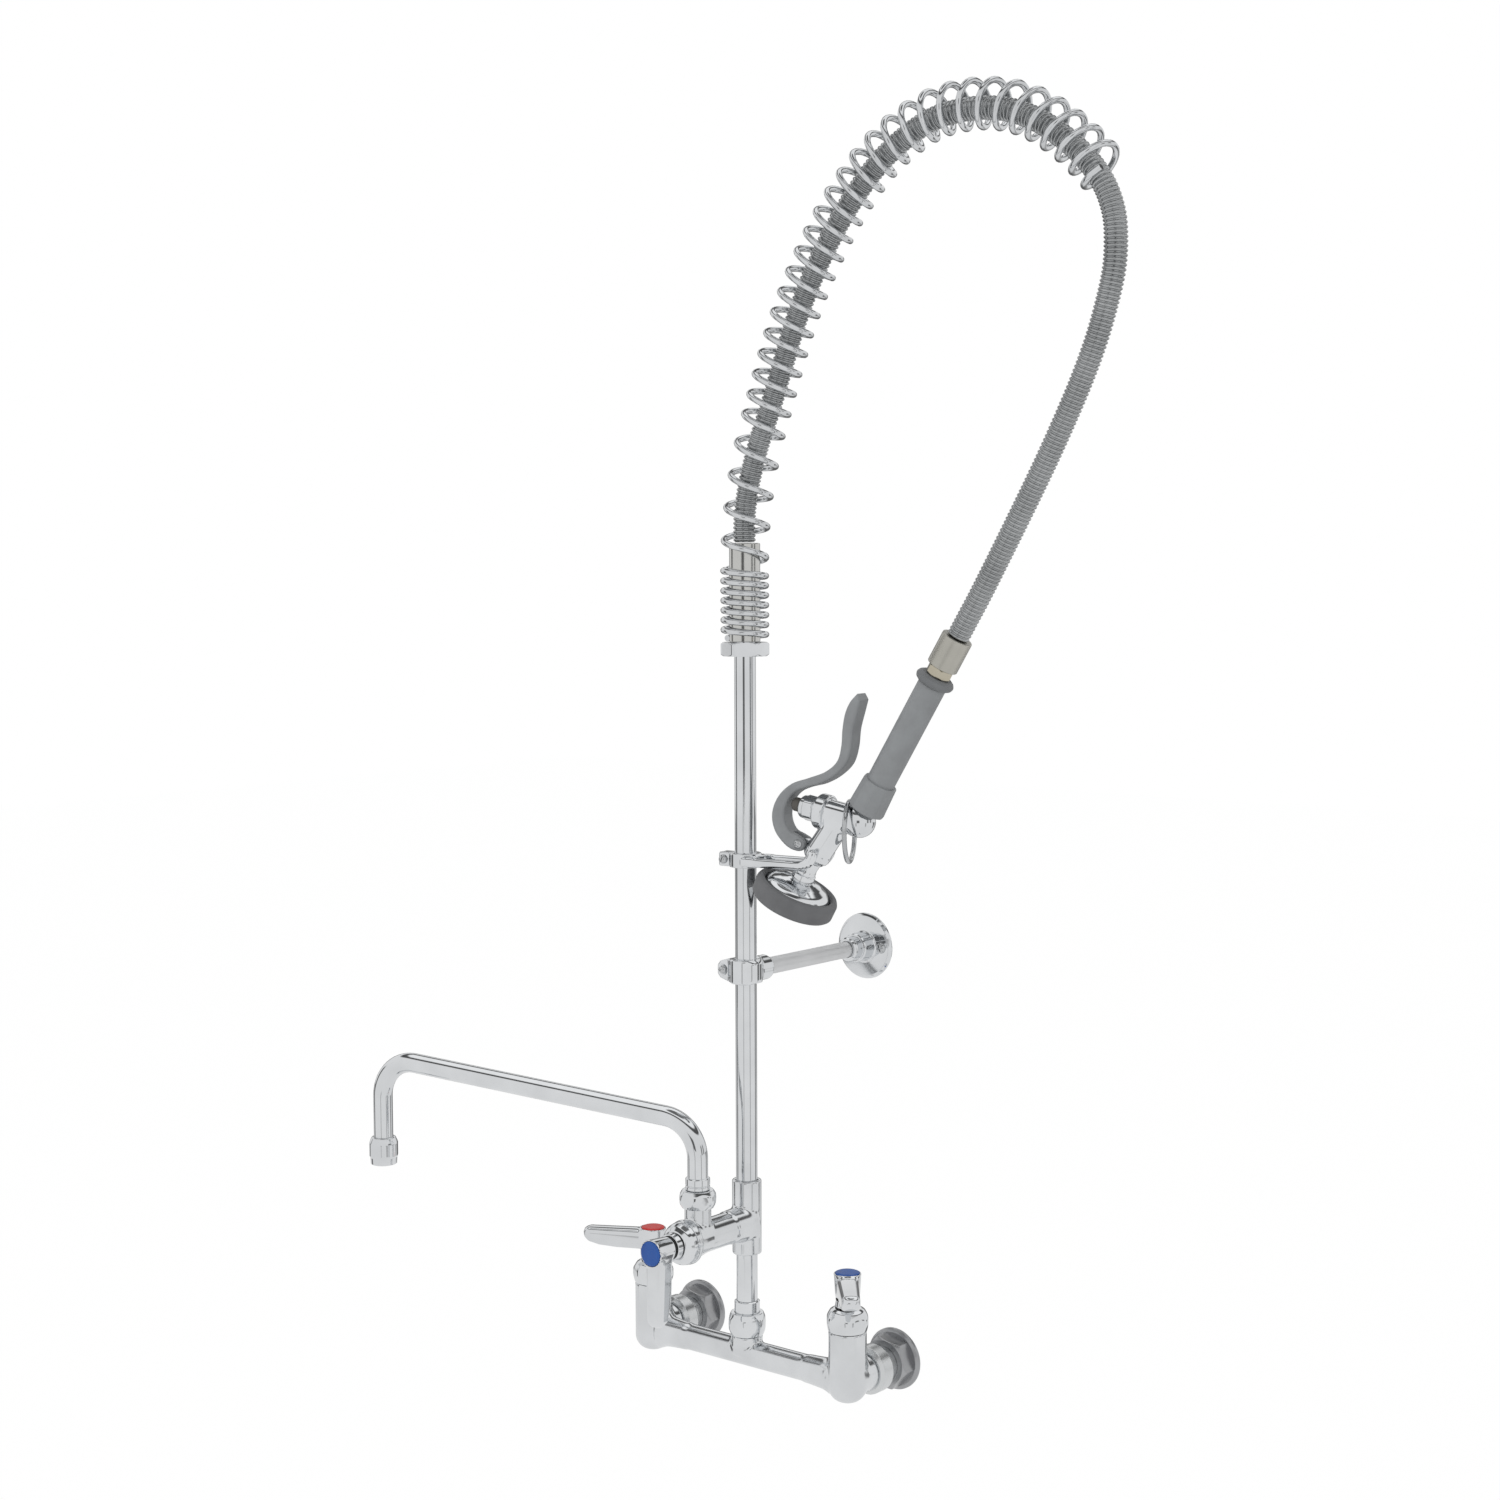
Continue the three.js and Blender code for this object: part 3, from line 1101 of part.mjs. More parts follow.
// ---- the whole faucet -------------------------------------------------------------------------
function faucet() {
  const root = new THREE.Group();
  baseBody(root);
  inlet(root, 'hot', -half);
  inlet(root, 'cold', half);
  const hot = frameAt(root, -half, riserY, barrelShoulder);
  hot.rotation.z = rad(hotLeverTurn);
  valve(hot, 'hot', bonnetNutDiameter, bonnetNutHeight, 'redCap');
  const cold = frameAt(root, half, riserY, barrelShoulder);
  cold.rotation.z = rad(coldLeverTurn);
  valve(cold, 'cold', bonnetNutDiameter, bonnetNutHeight, 'blueCap');
  const front = frameAt(root, 0, riserY - cupFace, teeAxis);
  front.quaternion.setFromRotationMatrix(new THREE.Matrix4().makeBasis(
    new THREE.Vector3(0, 0, -1), new THREE.Vector3(1, 0, 0), new THREE.Vector3(0, -1, 0)));
  valve(front, 'addon', armNutDiameter, armNutHeight, 'blueCap');
  outletSwivel(root);
  addonTee(root);
  spout(root);
  riser(root);
  wallBracket(root);
  const plane = frameAt(root, 0, riserY, 0);
  plane.rotation.z = rad(hosePlaneTurn);
  overheadSpring(plane);
  flexibleHose(plane);
  const onHook = frameAt(plane, 0, 0, hookHeight);
  fingerHook(onHook);
  grip(onHook);
  valveBody(onHook);
  plungerAndBonnet(onHook);
  sprayHead(onHook);
  holdDownRing(onHook);
  squeezeLever(onHook);
  root.updateMatrixWorld(true);
  return root;
}

const group = faucet();
export default group;
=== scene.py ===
import math
import bpy
import numpy as np
from mathutils import Matrix, Vector


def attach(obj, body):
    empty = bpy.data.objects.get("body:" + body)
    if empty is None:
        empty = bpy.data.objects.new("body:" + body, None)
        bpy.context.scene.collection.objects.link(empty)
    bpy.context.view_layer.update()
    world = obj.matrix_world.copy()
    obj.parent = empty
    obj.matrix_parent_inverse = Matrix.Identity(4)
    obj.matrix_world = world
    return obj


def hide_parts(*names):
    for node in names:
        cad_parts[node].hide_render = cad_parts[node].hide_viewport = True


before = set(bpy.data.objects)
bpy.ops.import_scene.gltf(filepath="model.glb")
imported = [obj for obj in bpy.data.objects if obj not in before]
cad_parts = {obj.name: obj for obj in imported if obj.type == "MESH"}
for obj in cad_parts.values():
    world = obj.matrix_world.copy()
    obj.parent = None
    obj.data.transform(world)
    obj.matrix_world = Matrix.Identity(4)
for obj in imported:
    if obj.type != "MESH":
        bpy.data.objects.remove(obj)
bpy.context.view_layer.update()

scene = bpy.context.scene

camera = {
    "place": (1.1971, -1.5088, 0.6367),  # metres, from the photo's perspective
    "azimuth": 39.52,  # degrees that the view is turned from straight at the wall
    "down": 4.516,
    "roll": -0.186,
    "lens": 56.98,
    "sensor": 36.0,
}


def setCamera(view):
    a, p, r = (math.radians(view[key]) for key in ("azimuth", "down", "roll"))
    back = Vector((math.sin(a) * math.cos(p), -math.cos(a) * math.cos(p), math.sin(p)))
    level = Vector((math.cos(a), math.sin(a), 0))
    upright = back.cross(level)
    right = level * math.cos(r) + upright * math.sin(r)
    up = upright * math.cos(r) - level * math.sin(r)
    lensData = bpy.data.cameras.new("photoCamera")
    lensData.lens = view["lens"]
    lensData.sensor_width = view["sensor"]
    lensData.clip_end = 50
    body = bpy.data.objects.new("photoCamera", lensData)
    scene.collection.objects.link(body)
    body.matrix_world = Matrix.Translation(view["place"]) @ Matrix((right, up, back)).transposed().to_4x4()
    scene.camera = body


setCamera(camera)
print("camera set")

gap = 0.3  # between two pieces that touch
wallToRiser, halfInlets = 63.5, 101.6
hoseTurn = 7.0  # degrees from the body's length to the plane of the hose


def at(x, y, z):
    return Matrix.Translation((x, y, z))


def spin(degrees, axis="Z"):
    return Matrix.Rotation(math.radians(degrees), 4, axis)


home = Matrix.Identity(4)
riserAxis = at(0, -wallToRiser, 0)
hosePlane = riserAxis @ spin(hoseTurn)

# skins: list of (points, faces) in millimetres, in the frame of where
def addPiece(name, skins, where, finish, replaced=(), body="faucet", sharp=32, flatten=True):
    points, faces = [], []
    for skinPoints, skinFaces in skins:
        first = len(points)
        points.extend(Vector(p) for p in skinPoints)
        faces.extend([i + first for i in face] for face in skinFaces)
    mesh = bpy.data.meshes.new(name)
    mesh.from_pydata([(where @ p) * 0.001 for p in points], [], faces)
    mesh.validate()
    mesh.shade_smooth()
    mesh.set_sharp_from_angle(angle=math.radians(sharp))
    mesh.materials.append(finish)
    piece = bpy.data.objects.new(name, mesh)
    scene.collection.objects.link(piece)
    if flatten:
        normals = piece.modifiers.new("flatFaces", "WEIGHTED_NORMAL")
        normals.keep_sharp = True
    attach(piece, body)
    if replaced:
        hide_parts(*replaced)
    return piece


# profile points are (radius, height) or (radius, height, fillet)
def rounded(profile, closed=False, steps=5):
    out = []
    count = len(profile)
    for i, point in enumerate(profile):
        corner = Vector(point[:2])
        fillet = point[2] if len(point) > 2 else 0
        if fillet <= 0 or (not closed and i in (0, count - 1)):
            out.append(tuple(corner))
            continue
        before = Vector(profile[i - 1][:2]) - corner
        after = Vector(profile[(i + 1) % count][:2]) - corner
        half = before.angle(after) / 2
        cut = min(fillet / math.tan(half), 0.49 * before.length, 0.49 * after.length)
        radius = cut * math.tan(half)
        middle = (before.normalized() + after.normalized()).normalized()
        centre = corner + middle * (radius / math.sin(half))
        start = corner + before.normalized() * cut - centre
        end = corner + after.normalized() * cut - centre
        a0 = math.atan2(start.y, start.x)
        swing = (math.atan2(end.y, end.x) - a0 + math.pi) % (2 * math.pi) - math.pi
        for k in range(steps + 1):
            a = a0 + swing * k / steps
            out.append((centre.x + radius * math.cos(a), centre.y + radius * math.sin(a)))
    return out


def densified(points, longest, closed):
    out = []
    ends = list(zip(points, points[1:] + points[:1])) if closed else list(zip(points, points[1:]))
    for a, b in ends:
        steps = max(1, math.ceil(math.dist(a, b) / longest))
        out.extend((a[0] + (b[0] - a[0]) * k / steps, a[1] + (b[1] - a[1]) * k / steps) for k in range(steps))
    return out if closed else out + [points[-1]]


def softMin(a, b, blend):
    h = np.maximum(blend - np.abs(a - b), 0) / blend
    return np.minimum(a, b) - h * h * blend / 4


# a lathe's skin; flats cuts it to a bar of that many corners, and share does so to each ring by its size
def spun(profile, sides=64, closed=False, flats=None, corners=6, soften=0.8, turn=0.0, share=None):
    line = rounded(profile, closed)
    if flats or share:
        line = densified(line, 0.7, closed)
        sides = max(sides, 16 * corners)
    angles = np.arange(sides) * 2 * math.pi / sides
    sector = 2 * math.pi / corners
    toFlat = (angles - math.radians(turn)) % sector - sector / 2  # the first corner stands at turn
    points, rings = [], []
    for r, z in line:
        if r < 1e-4 and not closed:
            rings.append([len(points)])
            points.append((0, 0, z))
            continue
        radii = np.full(sides, r)
        if share or (flats and r > flats * 0.4):
            radii = softMin(radii, (r * share if share else flats / 2) / np.cos(toFlat), soften)
        rings.append(list(range(len(points), len(points) + sides)))
        points.extend(
            (radii[k] * math.cos(angles[k]), radii[k] * math.sin(angles[k]), z) for k in range(sides))
    return points, bridged(rings, closed)


def piped(bore, radius, low, high, sides):
    return spun([(bore, low), (radius, low), (radius, high), (bore, high)], sides, True)


def bridged(rings, closed):
    faces = []
    pairs = list(zip(rings, rings[1:])) + ([(rings[-1], rings[0])] if closed else [])
    for low, high in pairs:
        count = max(len(low), len(high))
        for k in range(count):
            n = (k + 1) % count
            if len(low) == 1:
                faces.append((low[0], high[n], high[k]))
            elif len(high) == 1:
                faces.append((low[k], low[n], high[0]))
            else:
                faces.append((low[k], low[n], high[n], high[k]))
    return faces


# centripetal curve through the knots, read at even distances
def smoothLine(knots, count):
    p = [Vector(k) for k in knots]
    p = [2 * p[0] - p[1]] + p + [2 * p[-1] - p[-2]]
    dense = []
    for i in range(1, len(p) - 2):
        a, b, c, d = p[i - 1:i + 3]
        ta, tb, tc = ((b - a).length ** 0.5, (c - b).length ** 0.5, (d - c).length ** 0.5)
        leave = ((b - a) / ta - (c - a) / (ta + tb) + (c - b) / tb) * tb
        reach = ((c - b) / tb - (d - b) / (tb + tc) + (d - c) / tc) * tb
        for k in range(20):
            t = k / 20
            dense.append(b + leave * t + (3 * (c - b) - 2 * leave - reach) * t * t
                         + (2 * (b - c) + leave + reach) * t * t * t)
    dense.append(p[-2])
    return evenly(dense, count)


def evenly(points, count):
    steps = [0.0]
    for a, b in zip(points, points[1:]):
        steps.append(steps[-1] + (b - a).length)
    wanted = np.linspace(0, steps[-1], count)
    columns = [np.interp(wanted, steps, [q[axis] for q in points]) for axis in range(3)]
    return [Vector(q) for q in zip(*columns)]


# a tube along the points; radii is one radius or one for each point
def swept(points, radii, sides=24, across=(0, 1, 0), bore=0.0):
    if not hasattr(radii, "__len__"):
        radii = [radii] * len(points)
    side = Vector(across)
    out, rings, inner = [], [], []
    for i, centre in enumerate(points):
        along = (points[min(i + 1, len(points) - 1)] - points[max(i - 1, 0)]).normalized()
        side = (side - along * side.dot(along)).normalized()
        up = along.cross(side)
        for row, radius in ((rings, radii[i]), (inner, bore)):
            if row is inner and not bore:
                continue
            row.append(list(range(len(out), len(out) + sides)))
            for k in range(sides):
                a = 2 * math.pi * k / sides
                out.append(centre + side * (radius * math.cos(a)) + up * (radius * math.sin(a)))
    faces = bridged(rings, False)
    if bore:
        faces += [tuple(reversed(f)) for f in bridged(inner, False)]
        faces += [tuple(reversed(f)) for f in bridged([rings[0], inner[0]], False)]
        faces += bridged([rings[-1], inner[-1]], False)
    else:
        faces += [tuple(reversed(rings[0])), tuple(rings[-1])]
    return out, faces


def edged(wide, tall, edge):
    return np.minimum(np.maximum(wide, tall), 0) + np.hypot(np.maximum(wide, 0), np.maximum(tall, 0)) - edge


def barrel(a, b, radius, endRadius=None, edge=1.0):
    a, b = np.array(a, float), np.array(b, float)
    length = np.linalg.norm(b - a)
    axis = (b - a) / length
    endRadius = radius if endRadius is None else endRadius

    def field(p):
        h = (p - a) @ axis
        out = np.linalg.norm(p - a - h[:, None] * axis, axis=1)
        wide = out - (radius + (endRadius - radius) * np.clip(h / length, 0, 1)) + edge
        tall = np.abs(h - length / 2) - length / 2 + edge
        return edged(wide, tall, edge)
    return field


def upright(low, high, *radii, edge=1.0):
    return barrel((0, 0, low), (0, 0, high), *radii, edge=edge)


def ball(centre, radius):
    centre = np.array(centre, float)
    return lambda p: np.linalg.norm(p - centre, axis=1) - radius


def block(low, high, edge=1.0, where=home):
    low, high = np.array(low, float), np.array(high, float)
    middle, half = (low + high) / 2, (high - low) / 2
    inverse = np.array(where.inverted())

    def field(p):
        local = p @ inverse[:3, :3].T + inverse[:3, 3]
        q = np.abs(local - middle) - half + edge
        return np.linalg.norm(np.maximum(q, 0), axis=1) + np.minimum(q.max(axis=1), 0) - edge
    return field


# a plate of that outline in two axes, as thick as twice half about middle on the third
def outlined(outline, axes, middle, half, edge=1.0):
    ring = np.array(outline, float)
    third = 3 - sum(axes)

    def field(p):
        q = p[:, list(axes)]
        least = np.full(len(p), 1e9)
        inside = np.zeros(len(p), bool)
        for a, b in zip(ring, np.roll(ring, -1, axis=0)):
            run = b - a
            t = np.clip(((q - a) @ run) / max(run @ run, 1e-9), 0, 1)
            least = np.minimum(least, ((q - a - t[:, None] * run) ** 2).sum(axis=1))
            crosses = (a[1] > q[:, 1]) != (b[1] > q[:, 1])
            where = a[0] + (q[:, 1] - a[1]) * run[0] / (run[1] if abs(run[1]) > 1e-9 else 1e-9)
            inside ^= crosses & (q[:, 0] < where)
        flat = np.sqrt(least) * np.where(inside, -1, 1) + edge
        tall = np.abs(p[:, third] - middle) - half + edge
        return edged(flat, tall, edge)
    return field


def blended(shapes, blend):
    def field(p):
        total = shapes[0](p)
        for shape in shapes[1:]:
            total = softMin(total, shape(p), blend)
        return total
    return field


def carved(shape, tools, blend=0.5):
    def field(p):
        total = shape(p)
        for tool in tools:
            total = -softMin(-total, tool(p), blend)
        return total
    return field


def inverted(shape):
    return lambda p: -shape(p)


def kept(shape, others, blend=0.5):
    return carved(shape, [inverted(other) for other in others], blend)


# the skin of a blended solid: one point in each grid cell that it crosses, pulled onto it
def cast(field, low, high, step):
    axes = [np.arange(low[i] - 2 * step, high[i] + 2.5 * step, step) for i in range(3)]
    grid = np.stack(np.meshgrid(*axes, indexing="ij"), -1)
    shape = grid.shape[:3]
    flat = grid.reshape(-1, 3)
    depth = np.concatenate([field(part) for part in np.array_split(flat, max(1, len(flat) // 400000))])
    depth = depth.reshape(shape)
    inside = depth < 0
    size = tuple(s - 1 for s in shape)

    def corner(array, i, j, k):
        return array[i:i + size[0], j:j + size[1], k:k + size[2]]
    corners = [(i, j, k) for i in (0, 1) for j in (0, 1) for k in (0, 1)]
    filled = sum(corner(inside, *c).astype(int) for c in corners)
    active = (filled > 0) & (filled < 8)
    number = np.full(size, -1)
    number[active] = np.arange(active.sum())
    cells = np.argwhere(active)
    total = np.zeros((len(cells), 3))
    hits = np.zeros(len(cells))
    for c in corners:
        for axis in range(3):
            if c[axis]:
                continue
            d = list(c)
            d[axis] = 1
            a = depth[tuple((cells + c).T)]
            b = depth[tuple((cells + d).T)]
            cross = (a < 0) != (b < 0)
            t = np.where(cross, a / np.where(cross, a - b, 1), 0)
            place = np.tile(np.array(c, float), (len(cells), 1))
            place[:, axis] = t
            total += place * cross[:, None]
            hits += cross
    points = (cells + total / hits[:, None]) * step + np.array([axis[0] for axis in axes])
    faces = []
    for axis in range(3):
        b, c = (axis + 1) % 3, (axis + 2) % 3
        low0 = [slice(None)] * 3
        low0[axis] = slice(0, shape[axis] - 1)
        low1 = list(low0)
        low1[axis] = slice(1, shape[axis])
        change = inside[tuple(low0)] != inside[tuple(low1)]
        places = np.argwhere(change)
        places = places[
            (places[:, b] > 0) & (places[:, c] > 0) & (places[:, b] < size[b]) & (places[:, c] < size[c])]
        starts = inside[tuple(places.T)]
        unitB, unitC = np.eye(3, dtype=int)[b], np.eye(3, dtype=int)[c]
        quad = [number[tuple((places - offset).T)] for offset in (unitB + unitC, unitC, 0 * unitB, unitB)]
        quad = np.stack(quad, 1)
        quad[~starts] = quad[~starts][:, ::-1]
        faces.extend(map(tuple, quad.tolist()))
    tiny = 0.02
    for _ in range(4):
        here = field(points)
        slope = np.stack([
            field(points + tiny * e) - field(points - tiny * e) for e in np.eye(3)], 1) / (2 * tiny)
        pull = (here / np.maximum((slope ** 2).sum(1), 0.2))[:, None] * slope
        points = points - np.clip(pull, -step / 2, step / 2)
    return points.tolist(), faces


def addCast(name, field, low, high, grid, where, finish, replaced, body="faucet"):
    return addPiece(name, [cast(field, low, high, grid)], where, finish, replaced, body, flatten=False)


print("tools ready")

# a screen colour such as 0xd4d6d8, as linear light
def tone(code):
    parts = [((code >> shift) & 255) / 255 for shift in (16, 8, 0)]
    return tuple(c / 12.92 if c < 0.04045 else ((c + 0.055) / 1.055) ** 2.4 for c in parts)


def surfaceOf(name):
    finish = bpy.data.materials.new(name)
    finish.use_nodes = True
    tree = finish.node_tree
    return finish, tree, tree.nodes["Principled BSDF"]


# outputs of a new node; a number is set on its socket, another node's output is linked to it
def added(tree, kind, sockets, **settings):
    node = tree.nodes.new("ShaderNode" + kind)
    for name, value in settings.items():
        setattr(node, name, value)
    for socket, value in sockets.items():
        if hasattr(value, "links"):
            tree.links.new(value, node.inputs[socket])
        else:
            node.inputs[socket].default_value = value
    return node.outputs


def placeOn(tree):
    return added(tree, "TexCoord", {})["Object"]


def noiseOn(tree, scale, detail=3.0, stretch=None):
    place = placeOn(tree)
    if stretch:
        place = added(tree, "Mapping", {"Vector": place, "Scale": stretch})["Vector"]
    return added(tree, "TexNoise", {"Vector": place, "Scale": scale, "Detail": detail})["Fac"]


def stepped(tree, value, near, far, low, high, easing="SMOOTHSTEP"):
    limits = {"From Min": near, "From Max": far, "To Min": low, "To Max": high}
    return added(tree, "MapRange", {"Value": value, **limits}, interpolation_type=easing)["Result"]


patch = {"metal": 34.0, "other": 60.0, "low": 0.3, "high": 0.7}  # smudges of about 30 mm and 15 mm


# tone and roughness wander together over the smudges; the grain is a fine bump
def finishOf(name, darker, lighter, rough, wander, grainScale, grain, metal=True, stretch=None):
    finish, tree, surface = surfaceOf(name)
    surface.inputs["Metallic"].default_value = float(metal)
    smudges = noiseOn(tree, patch["metal" if metal else "other"])
    ramp = tree.nodes.new("ShaderNodeValToRGB")
    for i, (place, code) in enumerate(((patch["low"], darker), (patch["high"], lighter))):
        ramp.color_ramp.elements[i].position = place
        ramp.color_ramp.elements[i].color = (*tone(code), 1)
    tree.links.new(smudges, ramp.inputs["Fac"])
    tree.links.new(ramp.outputs["Color"], surface.inputs["Base Color"])
    wandering = stepped(tree, smudges, patch["low"], patch["high"], rough - wander, rough + wander, "LINEAR")
    tree.links.new(wandering, surface.inputs["Roughness"])
    bump = {"Strength": grain, "Distance": 0.0002, "Height": noiseOn(tree, grainScale, 2.0, stretch)}
    tree.links.new(added(tree, "Bump", bump)["Normal"], surface.inputs["Normal"])
    return finish


chrome = finishOf("polishedChrome", 0xd9dbdd, 0xe4e6e8, 0.07, 0.025, 420.0, 0.02)
castChrome = finishOf("castChrome", 0xd6d8da, 0xe2e4e6, 0.14, 0.03, 420.0, 0.02)
softChrome = finishOf("softChrome", 0xd0d2d3, 0xdcdedf, 0.27, 0.04, 900.0, 0.05)
springChrome = finishOf("springChrome", 0xcfd1d3, 0xdcdee0, 0.12, 0.03, 900.0, 0.03)
satinPlate = finishOf("satinFlangePlate", 0xa1a2a4, 0xb3b4b6, 0.3, 0.05, 1500.0, 0.2)
polishedNickel = finishOf("polishedNickel", 0xc6c6c3, 0xd2d2cf, 0.14, 0.03, 900.0, 0.05)
satinNickel = finishOf(
    "satinNickel", 0xb3b1a9, 0xc1bfb7, 0.3, 0.05, 500.0, 0.15, stretch=(1, 1, 14))
# the hose's steel, its tone partly its own and partly lowered as painted shade for the dark grooves between
# its ribs
hoseSteelAndGrooveShade = finishOf("hoseSteelAndGrooveShade", 0xa2a4a5, 0xb8babb, 0.24, 0.05, 1400.0, 0.12)
paleSteel = finishOf("paleSteel", 0xdedfe0, 0xe8e9ea, 0.52, 0.04, 1200.0, 0.06)
screwSteel = finishOf("screwSteel", 0xb9bbbd, 0xcccecf, 0.22, 0.05, 1200.0, 0.1)
adapterBrass = finishOf("nickelBrass", 0xbfb8a6, 0xccc6b6, 0.3, 0.05, 900.0, 0.12)
gripPlastic = finishOf("greyGrip", 0x7d7f81, 0x878a8c, 0.42, 0.05, 1600.0, 0.16, False)
lipPlastic = finishOf("gripLip", 0x66686a, 0x707274, 0.5, 0.05, 1600.0, 0.16, False)
bumperRubber = finishOf("bumperRubber", 0x5c5d5f, 0x67686a, 0.55, 0.05, 2200.0, 0.3, False)
# black of the hidden washers and o-rings; on the rings in the valves' gaps and grooves the same black is
# painted shade
blackSealAndGapShade = finishOf("blackSealAndGapShade", 0x1c1c1c, 0x262626, 0.6, 0.05, 2200.0, 0.2, False)
plungerRubber = finishOf("plungerRubber", 0x4a4744, 0x55524e, 0.6, 0.05, 2200.0, 0.25, False)
blueCap = finishOf("blueIndex", 0x13458f, 0x1a509c, 0.35, 0.05, 300.0, 0.02, False)
redCap = finishOf("redIndex", 0xbb1c18, 0xc5251f, 0.35, 0.05, 300.0, 0.02, False)
print("finishes ready")

hose = {
    "diameter": 17.5, "groove": 15.3, "bore": 10.0, "pitch": 3.2, "sides": 32,
    # centre line: distance out from the riser axis, height
    "route": [(0, 652.6), (0, 669.9), (3.6, 695), (13.4, 729), (24.5, 757.5), (35.7, 789), (48, 822.8),
              (67.2, 863.4), (95.2, 906.8), (126.8, 940.3), (164, 962.2), (194, 967.4), (223.5, 965),
              (248.6, 955.8), (274, 938.7), (294, 919.2), (306, 901), (312.4, 882), (313.8, 864),
              (312.6, 844), (306.8, 819), (299, 794), (288, 766.5), (274.5, 737.5), (259.5, 707.5),
              (243, 676.5), (225.8, 645), (206.8, 610.8), (197.9, 595.7), (189, 580.65)],
}


def layHose(cfg):
    knots = [(u, 0, z) for u, z in cfg["route"]]
    dense = smoothLine(knots, 1200)
    length = sum((b - a).length for a, b in zip(dense, dense[1:]))
    ribs = round(length / cfg["pitch"])
    crest, groove = cfg["diameter"] / 2, cfg["groove"] / 2
    shape = [groove, groove, crest - 0.35, crest, crest, crest - 0.35]  # one rib, groove to groove
    line = evenly(dense, ribs * len(shape) + 1)
    radii = [shape[i % len(shape)] for i in range(len(line))]
    tube = swept(line, radii, cfg["sides"], bore=cfg["bore"] / 2)
    piece = addPiece(
        "flexibleHose", [tube], hosePlane, hoseSteelAndGrooveShade, ["flexible_hose"], sharp=50, flatten=False)
    path = [tuple((hosePlane @ p) * 0.001) for p in evenly(dense, 160)]
    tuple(path[0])


layHose(hose)
print("hose laid")

body = {
    "tube": 19.5, "flare": 26.0, "flareLength": 23.0, "barrel": 30.0, "bottom": -17.8, "shoulder": 38.8,
    "bottomRound": 12.0, "stub": 30.0, "stubEnd": 21.2, "tail": 23.0, "tailEnd": 51.5, "neck": 25.0,
    "neckTop": 14.8, "spigot": 19.0, "spigotTop": 21.5, "blend": 3.0, "flareBlend": 5.5, "grid": 0.85,
}


def castBody(cfg):
    side = halfInlets
    inner = side - cfg["barrel"] / 2
    tube = barrel((-side, 0, 0), (side, 0, 0), cfg["tube"] / 2, edge=0.5)
    posts, ends = [tube], []
    for x in (-side, side):
        mark = math.copysign(1, x)
        posts.append(barrel((x, 0, cfg["bottom"]), (x, 0, cfg["shoulder"] + 20), cfg["barrel"] / 2,
                            edge=cfg["bottomRound"]))
        posts.append(barrel((mark * (inner - cfg["flareLength"]), 0, 0), (mark * (inner + 2), 0, 0),
                            cfg["tube"] / 2 - 0.6, cfg["flare"] / 2, edge=0.5))
        stub = barrel((x, 0, 0), (x, cfg["stubEnd"], 0), cfg["stub"] / 2, edge=1.0)
        tail = barrel((x, 0, 0), (x, cfg["tailEnd"], 0), cfg["tail"] / 2, edge=0.6)
        ends += [stub, tail]
    neck = upright(0, cfg["neckTop"], cfg["neck"] / 2, edge=0.8)
    spigot = upright(0, cfg["spigotTop"], cfg["spigot"] / 2, edge=0.5)
    whole = blended([
        blended(posts, cfg["flareBlend"]), blended([tube, neck], cfg["flareBlend"] / 2), *ends,
        spigot], cfg["blend"])
    top = block((-300, -100, -100), (300, 100, cfg["shoulder"]), 0.1)
    whole = kept(whole, [top], 1.2)
    reach = side + cfg["barrel"] / 2
    addCast(
        "castBody", whole, (-reach, -cfg["barrel"] / 2, cfg["bottom"]),
        (reach, cfg["tailEnd"], cfg["shoulder"]), cfg["grid"], riserAxis, castChrome, ["base_body"])


castBody(body)
print("body cast")

inlet = {
    "flange": 49.5, "thickness": 4.0, "hex": 38.0, "hexEnd": 17.0, "hexTurn": 12.0, "bore": 16.0,
    "pocket": 23.6, "coupling": 38.0, "couplingBack": 26.4, "couplingEnd": 42.0, "couplingNeck": 28.4,
}


def dressInlet(side, x, cfg):
    intoWall = at(x, 0, 0) @ spin(-90, "X")
    r, hexR = cfg["flange"] / 2, cfg["hex"] / 2
    disc = spun([
        (cfg["bore"] / 2, 0), (cfg["bore"] / 2, -cfg["thickness"]), (r - 2.2, -cfg["thickness"], 1.5),
        (r, -cfg["thickness"] + 1.6, 1.2), (r, 0, 0.4)], 96, True)
    hexagon = spun([
        (cfg["pocket"] / 2, -cfg["thickness"] + 0.5), (cfg["pocket"] / 2, -cfg["hexEnd"]),
        (hexR, -cfg["hexEnd"], 0.8), (hexR + 3.2, -cfg["hexEnd"] + 3, 0.8),
        (hexR + 3.2, -cfg["thickness"] + 0.5)], 96, True, cfg["hex"], turn=cfg["hexTurn"])
    addPiece(side + "Flange", [disc, hexagon], intoWall, satinPlate, [side + "_inlet_flange"])
    foot, back, end = -cfg["hexEnd"] - gap, -cfg["couplingBack"], -cfg["couplingEnd"]
    cr, neck = cfg["coupling"] / 2, cfg["couplingNeck"] / 2
    collar = spun([
        (cfg["pocket"] / 2, end), (cr - 2.6, end, 0.4), (cr - 1.6, end + 1.2, 0.6), (cr, end + 3, 1.0),
        (cr, back - 2, 1.0), (cr - 1.5, back, 0.6), (neck, back + 0.3, 0.4), (neck, foot),
        (cfg["pocket"] / 2, foot)], 96, True)
    addPiece(side + "Coupling", [collar], intoWall, softChrome, [side + "_inlet_coupling"])


for side, x in (("hot", -halfInlets), ("cold", halfInlets)):
    dressInlet(side, x, inlet)
print("inlets dressed")

